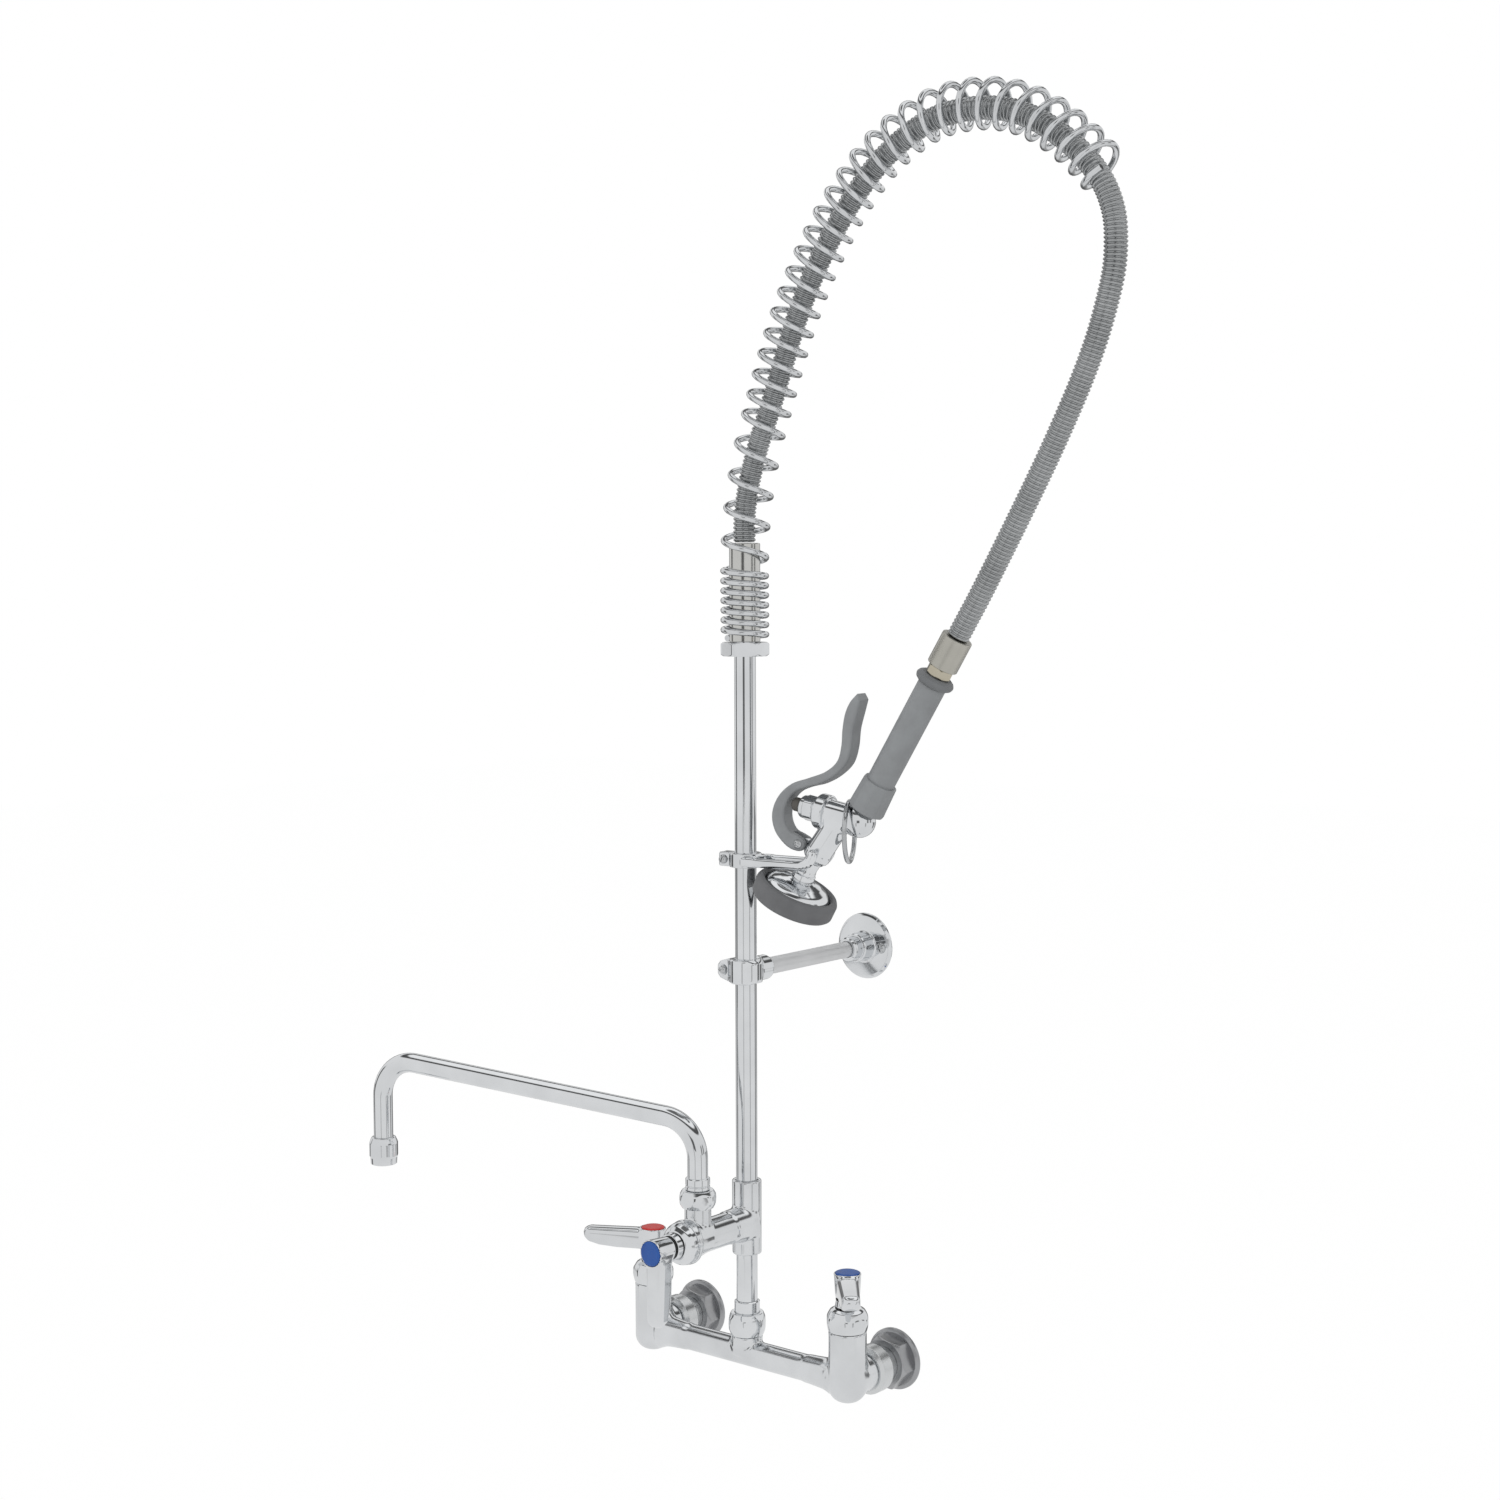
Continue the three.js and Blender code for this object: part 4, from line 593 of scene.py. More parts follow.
valve = {
    "nut": 34.5, "nutHeight": 18.2, "armNutHeight": 9.5, "coneHeight": 6.4, "hubRise": 1.6, "stem": 9.0,
    # outer edge of a bonnet: radius, height (above 1 in nut heights), fillet
    "bell": [(15.3, 0.02, 0.6), (17.3, 0.36, 6.0), (17.0, 0.62, 5.0), (13.8, 0.92, 3.0), (11.0, 1.0, 0.4)],
    "armBell": [(16.9, 0.03, 0.5), (16.4, 0.36, 4.0), (14.6, 0.70, 4.0), (11.8, 0.97, 1.2), (11.2, 1.0, 0.3)],
    # the last size here is the radius of the black ring under the lever's hub, painted shade in that gap
    "cone": (9.9, 9.0), "armCone": (10.9, 10.3), "gapShadeRing": 9.2,
    "hub": 21.5, "hubHeight": 20.0, "index": 19.4, "indexDepth": 1.8,
    "length": 60.5, "width": 17.5, "tipWidth": 14.5, "grid": 0.55,
    "hotTurn": 208, "coldTurn": 310,  # where the levers point at rest, in degrees
}


def leverSkin(cfg):
    top, tip, hubR = cfg["hubHeight"], cfg["tipWidth"] / 2, cfg["hub"] / 2
    length = cfg["length"]
    plan = [(0, -cfg["width"] / 2), (length - tip, -tip)]
    plan += [
        (length - tip + tip * math.sin(a), -tip * math.cos(a)) for a in np.linspace(0.2, math.pi - 0.2, 12)]
    plan += [(length - tip, tip), (0, cfg["width"] / 2)]
    sideView = [
        (0, top - 17.4), (hubR, top - 17.4), (length / 2, top - 17.2), (length - 15.5, top - 16),
        (length - 6.5, top - 13.6), (length - 1.8, top - 10.4), (length + 0.4, top - 6.6),
        (length - 1.2, top - 2.8), (length - 5.5, top - 0.9), (hubR + 27, top - 0.7), (hubR, top - 0.1),
        (0, top - 0.1)]
    rod = barrel((-8, 0, top - 12.0), (length + 0.5, 0, top - 11.0), 12.0, 10.6, edge=8.0)  # crowns the top
    blade = kept(
        outlined(plan, (0, 1), top / 2, top / 2, 1.0), [outlined(sideView, (0, 2), 0, 20, 1.0), rod], 3.0)
    hub = upright(0, top, hubR - 1.6, hubR + 0.1, edge=1.2)
    whole = carved(blended([hub, blade], 3.0), [
        upright(top - cfg["indexDepth"], top + 5, cfg["index"] / 2 + 0.3, edge=0.1),
        upright(-5, 9, cfg["stem"] / 2 + 0.3, edge=0.1)], 0.5)
    return cast(whole, (-hubR, -hubR, 0), (length, hubR, top), cfg["grid"])


leverShape = leverSkin(valve)


def dressValve(name, where, edge, cone, nutHeight, flats, cap, cfg):
    handle = name + "_handle"
    bottom, top = gap, nutHeight + cfg["coneHeight"]
    hole, low = cfg["stem"] / 2 + 0.3, nutHeight + 1.6
    outer = [(r, max(bottom, share * nutHeight), fillet) for r, share, fillet in edge]
    bell = spun([
        (hole, bottom), *outer, (cone[0] - 0.9, nutHeight + 0.3, 0.2), (cone[0] - 0.9, low - 0.4, 0.2),
        (cone[0], low, 0.3), (cone[1], top, 0.7), (hole, top)], 96, True, flats, soften=1.8)
    addPiece(name + "Bonnet", [bell], where, chrome, [name + "_bonnet"])
    # Two black rings that stand for no part: one in the gap under the lever's hub and one in the bonnet's
    # groove. Both are painted shade, dark sheets put where only shade falls.
    gapShadeRing = spun([
        (hole, top + 0.3), (cfg["gapShadeRing"], top + 0.3, 0.2), (cfg["gapShadeRing"], top + 1.3, 0.2),
        (hole, top + 1.3)], 64, True)
    # the second black ring: painted shade in the bonnet's groove
    groove = piped(cone[0] - 0.85, cone[0] - 0.1, nutHeight + 0.45, low - 0.55, 64)
    addPiece(name + "ShadeRings", [gapShadeRing, groove], where, blackSealAndGapShade)
    start = top + cfg["hubRise"]
    up = where @ at(0, 0, start)
    addPiece(name + "Lever", [leverShape], up, chrome, [name + "_lever"], handle, flatten=False)
    seat = cfg["hubHeight"] - cfg["indexDepth"] + gap
    ir, high = cfg["index"] / 2, seat + cfg["indexDepth"]
    disc = spun([
        (0, seat), (ir, seat, 0.2), (ir, high - 0.2, 0.5), (ir - 1.4, high + 0.4, 1.0), (0, high + 0.7)])
    addPiece(name + "Index", [disc], up, cap, [name + "_index"], handle)


tee = {
    "bottom": 82.2, "top": 142.3, "post": 23.6, "axis": 107.5, "arm": 25.5, "cup": 34.0, "cupFace": 79.0,
    "cupLength": 4.0, "cupFlare": 18.0, "spoutOffset": 60.3, "neck": 21.0, "neckTop": 137.0,
    "blend": 3.0, "grid": 0.7,
}
hotPlace = at(-halfInlets, -wallToRiser, body["shoulder"]) @ spin(valve["hotTurn"])
coldPlace = at(halfInlets, -wallToRiser, body["shoulder"]) @ spin(valve["coldTurn"])
frontBasis = Matrix(((0, 1, 0), (0, 0, -1), (-1, 0, 0))).to_4x4()
addonPlace = at(0, -wallToRiser - tee["cupFace"], tee["axis"]) @ frontBasis
for name, place, cap in (("hot", hotPlace, redCap), ("cold", coldPlace, blueCap)):
    dressValve(
        name, place, valve["bell"], valve["cone"], valve["nutHeight"], valve["nut"] * 0.955, cap, valve)
dressValve(
    "addon", addonPlace, valve["armBell"], valve["armCone"], valve["armNutHeight"], None, blueCap, valve)
print("valves dressed")

outlet = {"nut": 31.2, "bottom": 15.3, "height": 18.3, "collar": 20.4, "collarTop": 43.4, "nipple": 17.0}


def roundNut(diameter, bottom, top, ends, bore):
    r, span = diameter / 2, top - bottom
    return spun([
        (bore / 2, bottom), (r * ends, bottom, 0.8), (r * 0.97, bottom + span * 0.25, 4.0),
        (r, bottom + span * 0.5, 6.0), (r * 0.97, bottom + span * 0.75, 4.0), (r * ends, top, 0.8),
        (bore / 2, top)], 96, True, diameter * 0.93, soften=1.0)


def dressOutlet(cfg, cfgTee):
    top = cfg["bottom"] + cfg["height"]
    nut = roundNut(cfg["nut"], cfg["bottom"], top, 0.84, cfg["collar"] + 0.6)
    addPiece("outletNut", [nut], riserAxis, chrome, ["outlet_swivel_nut"])
    cr, nr = cfg["collar"] / 2, cfg["nipple"] / 2
    step = spun([
        (6, top - 8), (cr, top - 8), (cr, cfg["collarTop"] - 0.8, 0.5), (cr - 0.8, cfg["collarTop"], 0.4),
        (nr + 0.3, cfg["collarTop"])], 64)
    addPiece("nippleCollar", [step], riserAxis, chrome, ["nipple_collar"])
    pipe = piped(6.5, nr, top - 5, cfgTee["bottom"] + 10.7, 64)
    addPiece("lowerNipple", [pipe], riserAxis, chrome, ["lower_nipple"])


def castTee(cfg):
    y = -cfg["cupFace"]
    armR, cupR, axis = cfg["arm"] / 2, cfg["cup"] / 2, cfg["axis"]
    post = upright(cfg["bottom"], cfg["top"], cfg["post"] / 2, edge=1.2)
    arm = barrel((0, 0, axis), (0, y + 3, axis), armR, edge=0.5)
    root = barrel((0, 0, axis), (0, -24, axis), armR + 1.4, armR - 0.2, edge=0.5)
    flare = barrel(
        (0, y + cfg["cupLength"] + cfg["cupFlare"], axis), (0, y + cfg["cupLength"], axis), armR - 1.2,
        cupR - 0.2, edge=0.4)
    cup = barrel((0, y + cfg["cupLength"] + 1, axis), (0, y, axis), cupR, cupR, edge=0.5)
    neck = barrel(
        (0, -cfg["spoutOffset"], axis), (0, -cfg["spoutOffset"], cfg["neckTop"]), cfg["neck"] / 2, edge=0.6)
    whole = blended([post, arm, root, flare, cup, neck], cfg["blend"])
    whole = carved(whole, [
        upright(cfg["bottom"] - 5, cfg["bottom"] + 11, outlet["nipple"] / 2 + 0.3, edge=0.1),
        upright(cfg["top"] - 11, cfg["top"] + 5, riser["pipe"] / 2 + 0.3, edge=0.1)], 0.6)
    addCast(
        "addonTee", whole, (-cupR, y, cfg["bottom"]), (cupR, cfg["post"] / 2, cfg["top"]), cfg["grid"],
        riserAxis, castChrome, ["addon_tee"])


riser = {"pipe": 17.1, "bore": 13.4, "bottom": 131.6, "top": 588.0}
dressOutlet(outlet, tee)
castTee(tee)
print("tee cast")

spout = {
    "nut": 30.0, "nutBottom": 132.3, "nutTop": 146.5, "collar": 19.4, "collarHeight": 9.6, "tube": 16.2,
    "bore": 13.2, "reach": 304.8, "runHeight": 199.7, "rise": 4.35, "turn": 191.3, "bend": 31.0,
    "legEnd": 141.0, "foot": 139.6, "tip": 25.0, "tipBottom": 131.2, "tipHeight": 23.2,
}


def arc(x, z, radius, start, end, steps):
    turns = np.linspace(start, end, steps)
    return [Vector((x + radius * math.cos(a), 0, z + radius * math.sin(a))) for a in turns]


def dressSpout(cfg):
    centre = at(0, -wallToRiser - tee["spoutOffset"], 0)
    nut = roundNut(cfg["nut"], cfg["nutBottom"], cfg["nutTop"], 0.82, cfg["tube"] + 1)
    addPiece("spoutNut", [nut], centre, chrome, ["spout_swivel_nut"])
    swing = centre @ spin(cfg["turn"])
    rise = math.radians(cfg["rise"])
    bend, far = cfg["bend"], cfg["reach"] - cfg["bend"]
    kneeZ = cfg["runHeight"] + bend * math.tan(rise) - bend / math.cos(rise)
    tipZ = cfg["runHeight"] + far * math.tan(rise) - bend / math.cos(rise)
    line = [Vector((0, 0, cfg["foot"]))] + arc(bend, kneeZ, bend, math.pi, math.pi / 2 + rise, 22)
    line += arc(far, tipZ, bend, math.pi / 2 + rise, 0, 22) + [Vector((cfg["reach"], 0, cfg["legEnd"]))]
    tube = swept(line, cfg["tube"] / 2, 40, bore=cfg["bore"] / 2)
    low, cr, tr = cfg["nutTop"] + gap, cfg["collar"] / 2, cfg["tube"] / 2
    high = low + cfg["collarHeight"] - gap
    collar = spun([
        (tr - 0.8, low), (cr, low, 0.4), (cr, low + 2.4, 0.3), (cr - 0.6, low + 2.8, 0.2),
        (cr - 0.6, low + 3.4, 0.2), (cr, low + 3.8, 0.3), (cr, high - 0.7, 0.6), (cr - 0.7, high, 0.4),
        (tr - 0.8, high)], 64, True)
    addPiece("spoutTube", [tube, collar], swing, chrome, ["spout_tube"], "swing_spout")
    r, b = cfg["tip"] / 2, cfg["tipBottom"]
    top = b + cfg["tipHeight"]
    tip = spun([
        (cfg["bore"] / 2, b + 3), (r - 3, b + 3, 0.2), (r - 3, b, 0.4), (r - 1.6, b, 0.7),
        (r - 1.2, b + 5.8, 0.6), (r, b + 7.6, 0.9), (r, top - 5.4, 1.6), (tr + 1.8, top, 1.4),
        (tr + 0.3, top)], 96, False, cfg["tip"] * 0.955, soften=1.2)
    addPiece("spoutTip", [tip], swing @ at(cfg["reach"], 0, 0), chrome, ["spout_outlet"], "swing_spout")


dressSpout(spout)
print("spout dressed")

ferrule = {
    "nutBottom": 563.0, "nutHeight": 11.0, "nutFlats": 33.8, "nutTurn": -20.0, "diameter": 24.4, "top": 652.0,
    "bore": 10.0,
}


def dressRiser(cfg, end):
    r = cfg["pipe"] / 2
    pipe = piped(cfg["bore"] / 2, r, cfg["bottom"], cfg["top"], 72)
    addPiece("riserPipe", [pipe], riserAxis, chrome, ["riser_pipe"])
    low, top = end["nutBottom"], end["nutBottom"] + end["nutHeight"]
    corner = end["nutFlats"] / 2 / math.cos(math.pi / 6)
    nut = spun([
        (r + 0.3, low), (corner - 2.2, low, 0.5), (corner, low + 1.6, 0.8), (corner, top - 1.6, 0.8),
        (corner - 2.2, top, 0.5), (r + 0.3, top)], 96, True, end["nutFlats"], soften=0.5,
        turn=end["nutTurn"])
    addPiece("springNut", [nut], riserAxis, chrome, ["spring_nut"])
    fr, start = end["diameter"] / 2, top + gap
    shell = spun([
        (r + 0.3, start), (fr, start, 0.6), (fr, end["top"], 1.0), (end["bore"] / 2, end["top"])], 72)
    addPiece("lowerFerrule", [shell], riserAxis, polishedNickel, ["hose_lower_ferrule"])


dressRiser(riser, ferrule)
print("riser dressed")

spring = {
    "diameter": 38.6, "wire": 5.0, "tightTurns": 7, "tightPitch": 7.7, "openTurns": 4.6, "openPitch": 24.9,
    "archPitch": 16.1, "steps": 36, "sides": 14,
    # centre line: distance out from the riser axis, height
    "line": [(0, 574), (0, 600), (0, 632), (1, 660), (5, 692), (13, 728), (22.5, 758), (33, 790), (45.5, 824),
             (65, 865), (93, 909), (125, 943), (163, 965), (194, 970.5), (224, 968), (250, 958.5), (276, 941),
             (297, 921), (309, 906.5)],
}


def springWire(cfg):
    line = smoothLine([(u, 0, z) for u, z in cfg["line"]], 1600)
    length = sum((b - a).length for a, b in zip(line, line[1:]))
    tight = cfg["tightTurns"] * cfg["tightPitch"]
    opened = tight + cfg["openTurns"] * cfg["openPitch"]
    first = cfg["wire"] / 2 + gap
    whole = cfg["tightTurns"] + cfg["openTurns"] + (length - first - cfg["wire"] - opened) / cfg["archPitch"]
    turnMarks = [0, cfg["tightTurns"], cfg["tightTurns"] + cfg["openTurns"], whole]
    distanceMarks = [0, tight, opened, length - first - cfg["wire"]]
    r = (cfg["diameter"] - cfg["wire"]) / 2
    count = int(int(whole * 8) / 8 * cfg["steps"])
    points = []
    for i in range(count + 1):
        turns = i / cfg["steps"]
        place = (first + np.interp(turns, turnMarks, distanceMarks)) / length * (len(line) - 1)
        k = min(int(place), len(line) - 2)
        centre = line[k].lerp(line[k + 1], place - k)
        along = (line[k + 1] - line[k]).normalized()
        out = Vector((-along.z, 0, along.x))
        a = 2 * math.pi * turns
        points.append(centre + out * (r * math.cos(a)) + Vector((0, r * math.sin(a), 0)))
    heading = (points[-1] - points[-2]).normalized()
    return [*points, points[-1] + heading * cfg["wire"]]


coil = swept(springWire(spring), spring["wire"] / 2, spring["sides"])
addPiece("overheadSpring", [coil], hosePlane, springChrome, ["overhead_spring"], flatten=False)
print("spring wound")

# screw head with a cross or a slot, its seat at 0 and its top towards +Z
def screwSkin(head, height, shank, length, slots, grid=0.3):
    r = head / 2
    dome = (r * r + (height * 0.8) ** 2) / (2 * height * 0.8)
    cap = kept(upright(0, height, r, edge=0.4), [ball((0, 0, height - dome), dome)], 0.5)
    cuts = []
    for turn in slots:
        cuts.append(block((-head * 0.3, -head * 0.055, height * 0.35),
                          (head * 0.3, head * 0.055, height + 2), 0.1, spin(turn)))
    whole = blended([carved(cap, cuts, 0.25), upright(-length, 1, shank / 2, edge=0.2)], 0.3)
    return cast(whole, (-r, -r, -length), (r, r, height), grid)


bracket = {
    "height": 311.7, "clampHeight": 19.5, "clamp": 26.5, "lugReach": 24.0, "lugDepth": 15.0, "split": 1.0,
    "screwOffset": 18.0, "screwHead": 7.2, "reach": 160.0, "pipe": 13.7, "boss": 20.0, "bossReach": 24.0,
    "rose": 56.0, "thickness": 3.0, "collar": 24.0, "collarLength": 14.0, "lip": 20.0, "lipLength": 11.0,
    "roseScrewOffset": 18.4, "roseScrewHead": 9.4, "grid": 0.5,
    # lower half of the clamp's front: across, up
    "front": [(-24, -3.5), (-21, -7), (-13.25, -9.25), (-4, -9.75), (9.25, -9.75), (13.25, -6.75)],
}


def dressBracket(cfg):
    place = riserAxis @ at(0, 0, cfg["height"])
    toWall, fromWall = place @ spin(-90, "X"), place @ spin(90, "X")
    r, half, lug = cfg["clamp"] / 2, cfg["clampHeight"] / 2, cfg["lugDepth"] / 2
    plan = blended([
        upright(-half - 4, half + 4, r, edge=0.5),
        block((-cfg["lugReach"], -lug, -half - 4), (0, lug, half + 4), 1.0)], 2.5)
    front = cfg["front"] + [(u, -z) for u, z in reversed(cfg["front"])]
    blank = kept(plan, [outlined(front, (0, 2), 0, 40, 0.6)], 1.6)
    bore = upright(-40, 40, riser["pipe"] / 2 + gap, edge=0.1)
    reach, split = cfg["lugReach"] + 20, cfg["split"] / 2
    window = block((-cfg["screwOffset"] + 5.2, -lug - 6, -4.6), (-r + 6.2, -lug + 2.2, 4.6), 0.8)
    seat = barrel((-cfg["screwOffset"], -lug - 4, 0), (-cfg["screwOffset"], -lug + 0.4, 0), 4.4, edge=0.3)
    low, high = (-cfg["lugReach"], -r, -half), (r, r, half)
    ahead = block((-reach, -reach, -reach), (reach, -split, reach), 0.1)
    behind = block((-reach, split, -reach), (reach, reach, reach), 0.1)
    nearHalf = kept(carved(blank, [bore, window, seat], 0.5), [ahead], 0.5)
    addCast("bracketFrontClamp", nearHalf, low, high, cfg["grid"], place, chrome, ["bracket_front_clamp"])
    boss = barrel((0, 4, 0), (0, cfg["bossReach"], 0), cfg["boss"] / 2, edge=1.0)
    farHalf = kept(carved(blended([blank, boss], 2.0), [bore], 0.5), [behind], 0.5)
    addCast(
        "bracketRearClamp", farHalf, low, (r, cfg["bossReach"], half), cfg["grid"], place, chrome,
        ["bracket_rear_clamp"])
    addPiece(
        "bracketClampScrew", [screwSkin(cfg["screwHead"], 2.8, 4, 12, (20,))],
        fromWall @ at(-cfg["screwOffset"], 0, lug - 0.2), screwSteel, ["bracket_clamp_screw"],
        flatten=False)
    back = cfg["reach"]
    pr, seatBack = cfg["pipe"] / 2, back - cfg["thickness"]
    pipe = piped(4.6, pr, r, seatBack, 48)
    addPiece("bracketPipe", [pipe], toWall, paleSteel, ["bracket_pipe"])
    cr, lr, rr = cfg["collar"] / 2, cfg["lip"] / 2, cfg["rose"] / 2
    collarStart = seatBack - cfg["collarLength"]
    lipStart = collarStart - cfg["lipLength"]
    shell = spun([
        (pr + 0.3, lipStart), (lr - 1.2, lipStart, 0.4), (lr, lipStart + 1.4, 0.8), (lr, collarStart, 0.6),
        (cr - 0.6, collarStart, 0.5), (cr, collarStart + 1.2, 0.8), (cr + 0.3, seatBack - 1.0, 2.2),
        (rr - 2.4, seatBack - 0.3, 1.6), (rr, seatBack + 1.5, 1.4), (rr, back, 0.4),
        (pr + 0.3, back)], 112, True)
    addPiece("bracketRose", [shell], toWall, chrome, ["bracket_flange"])
    for side, x in (("left", -cfg["roseScrewOffset"]), ("right", cfg["roseScrewOffset"])):
        addPiece(
            "roseScrew" + side.capitalize(),
            [screwSkin(cfg["roseScrewHead"], 3.4, 4.6, 3, (15, 105), 0.33)],
            fromWall @ at(x, 0, -seatBack + gap), screwSteel, ["bracket_flange_screw_" + side],
            flatten=False)


dressBracket(bracket)
print("bracket dressed")

# sizes over the hook's height, out from the riser's axis
spray = {
    "hookHeight": 401.0, "gripTilt": 30.5, "gripStart": (188.8, 179.3), "ferrule": 24.2,
    "ferruleLength": 25.6, "adapterFlats": 18.5, "adapterHex": 7.0, "adapterLength": 7.4, "spigot": 14.0,
    "lip": 31.0, "lipLength": 8.8, "grip": 22.4, "gripLength": 86.9, "collar": 27.6, "collarFlare": 2.2,
    "collarLength": 25.8,
    "elbow": (104.549, 36.269), "elbowBall": 25.0, "valveTilt": 10.5, "cross": 22.0, "crossLength": 38.6,
    "bodyRing": 28.0, "bodyRingLength": 9.0, "headOrigin": (54.6, -8.0), "headTilt": 26.0, "barrelTilt": 36.0,
    "lower": 21.0, "lowerTop": 58.3, "lowerEnd": 16.5, "neck": 15.0, "neckReach": 3.4,
    "bonnet": 20.4, "bonnetLength": 13.6, "plunger": 8.0, "plungerCap": 11.0, "capLength": 8.0, "shaft": 26.0,
    "plungerReach": 61.0, "ringWire": 3.8, "ring": 50.4, "ringPlace": 9.2, "ringTurn": 20.0,
    "domeNut": 18.6, "domeNutLength": 7.0, "domeNutStart": -1.6, "dome": 55.0, "domeDepth": 16.0,
    "domeWall": 1.8, "face": 3.0, "faceHoles": 8, "faceCircle": 17.0, "faceHole": 2.6, "bumper": 68.0,
    "bumperDepth": 18.0, "bumperLip": 3.0, "pivot": (53.2, 16.3), "lugRadius": 4.4, "lugHalf": 3.2,
    "grid": 0.6,
}
onHook = hosePlane @ at(0, 0, spray["hookHeight"])


def tilted(place, turn):
    return onHook @ at(place[0], 0, place[1]) @ spin(turn, "Y")


gripPlace = tilted(spray["gripStart"], 180 + spray["gripTilt"])
crossPlace = tilted(spray["elbow"], spray["valveTilt"] - 90)
headPlace = tilted(spray["headOrigin"], 180 + spray["headTilt"])


def dressGrip(cfg):
    fr, fl = cfg["ferrule"] / 2, cfg["ferruleLength"]
    shell = spun([(5, 0), (fr, 0, 0.8), (fr, fl, 0.8), (5, fl)], 72, True)
    addPiece("upperFerrule", [shell], gripPlace, satinNickel, ["hose_upper_ferrule"])
    start, corner = fl + gap, cfg["adapterFlats"] / 2 / math.cos(math.pi / 6)
    end = start + cfg["adapterHex"]
    hexagon = spun([
        (4, start), (corner - 1, start, 0.3), (corner, start + 1, 0.5), (corner, end - 1, 0.5),
        (corner - 1, end, 0.3), (4, end)], 96, True, cfg["adapterFlats"], soften=0.4)
    neckR, neckEnd = cfg["spigot"] / 2, end + 13
    neck = piped(4, neckR, end - 0.5, neckEnd, 64)
    addPiece("gripAdapter", [hexagon, neck], gripPlace, adapterBrass, ["grip_adapter"])
    g0 = fl + cfg["adapterLength"] + 2 * gap
    g1 = g0 + cfg["lipLength"]
    g2 = g1 + cfg["gripLength"]
    g3 = g2 + cfg["collarLength"]
    r, lr, cr, hole = cfg["grip"] / 2, cfg["lip"] / 2, cfg["collar"] / 2, cfg["spigot"] / 2 + 0.4
    lip = spun([
        (hole, g0), (r + 0.6, g0, 0.5), (lr - 1.2, g0 + 1.6, 1.2), (lr, g0 + 3.8, 1.5),
        (lr - 0.9, g0 + 6.2, 1.5), (r + 0.3, g1 - 0.4, 0.8), (hole, g1 - 0.4)], 80, True)
    addPiece("gripLip", [lip], gripPlace, lipPlastic, ["grip_handle"])
    tube = spun([(hole, g1 - 0.8), (r, g1 - 0.8), (r, g2 + 1), (hole, g2 + 1)], 80)
    wide = cr + cfg["collarFlare"] / 2
    collar = spun([
        (r - 1, g2), (cr - 0.6, g2 + 0.2, 0.3), (cr, g2 + 1.2, 0.5), (wide, g3 - 0.9, 0.5),
        (wide - 0.9, g3, 0.4), (hole, g3)], 120, corners=10, soften=0.35, share=0.965)
    addPiece("gripTube", [tube, collar], gripPlace, gripPlastic, ["grip_handle"])


def castValve(cfg):
    def stretch(place, turn, start, end, radius, edge):
        a = math.radians(turn)
        ends = [(place[0] + math.sin(a) * d, 0, place[1] + math.cos(a) * d) for d in (start, end)]
        return barrel(*ends, radius, edge=edge)
    elbow, head, px, pz = cfg["elbow"], cfg["headOrigin"], *cfg["pivot"]
    gripTurn, crossTurn = 180 + cfg["gripTilt"], cfg["valveTilt"] - 90
    lowTurn, headTurn = 180 + cfg["barrelTilt"], 180 + cfg["headTilt"]
    ringStart = cfg["crossLength"] - cfg["bodyRingLength"] - 2
    crossR, lowR = cfg["cross"] / 2, cfg["lower"] / 2
    half, eye = cfg["lugHalf"], cfg["lugRadius"]
    lug = kept(blended([
        barrel((px, -half, pz), (px, half, pz), eye, edge=0.4),
        block((px, -half, pz - eye), (px + 14, half, pz + eye), 0.4)], 0.5),
        [block((px - 20, -half, pz - 20), (px + 20, half, pz + 20), 0.2)], 0.3)
    shell = blended([
        stretch(elbow, gripTurn, -29, -4, cfg["spigot"] / 2, 0.3),
        ball((elbow[0], 0, elbow[1]), cfg["elbowBall"] / 2),
        stretch(elbow, crossTurn, 0, cfg["crossLength"], crossR, 0.8),
        stretch(head, lowTurn, -cfg["lowerTop"], -cfg["lowerEnd"], lowR, 1.2),
        stretch(head, lowTurn, -cfg["lowerTop"], 0, cfg["neck"] / 2 - 0.5, 0.5),
        stretch(head, headTurn, -cfg["neckReach"], cfg["neckReach"], cfg["neck"] / 2, 0.5)], 3.5)
    ring = stretch(elbow, crossTurn, ringStart, ringStart + cfg["bodyRingLength"], cfg["bodyRing"] / 2, 1.4)
    step = stretch(head, lowTurn, -cfg["lowerEnd"] - 7, -cfg["lowerEnd"] - 2, lowR + 0.5, 0.5)
    whole = blended([shell, ring, step, lug], 1.0)
    addCast(
        "sprayValveBody", whole, (head[0] - 9, -cfg["bodyRing"] / 2, head[1] - 9),
        (elbow[0] + 30, cfg["bodyRing"] / 2, elbow[1] + 30), cfg["grid"], onHook, chrome,
        ["spray_valve_body"])


def dressValveEnd(cfg):
    start = cfg["crossLength"] + gap
    end, r, hole = start + cfg["bonnetLength"], cfg["bonnet"] / 2, cfg["plungerCap"] / 2 + 0.3
    bell = spun([
        (hole, start), (r - 1, start, 0.3), (r, start + 1, 0.5), (r, end - 5.2, 0.8),
        (r - 0.9, end - 4.6, 0.3), (r - 1.2, end - 1.6, 1.2), (r - 2.6, end, 0.6), (hole, end),
        (hole, end - 5.5), (4.4, end - 5.5), (4.4, start)], 96, True, cfg["bonnet"] * 0.92, soften=0.7)
    addPiece("sprayBonnet", [bell], crossPlace, chrome, ["spray_bonnet"])
    tip, pr, cr = cfg["plungerReach"], cfg["plunger"] / 2, cfg["plungerCap"] / 2
    back = tip - cfg["capLength"]
    rod = spun([
        (0, back - cfg["shaft"]), (pr, back - cfg["shaft"], 0.3), (pr, back), (cr - 0.4, back, 0.4),
        (cr, back + 1.4, 0.6), (cr, tip - 2.2, 1.4), (cr - 1.6, tip - 0.4, 1.2), (0, tip)], 48)
    addPiece("sprayPlunger", [rod], crossPlace, plungerRubber, ["spray_plunger"], "plunger")


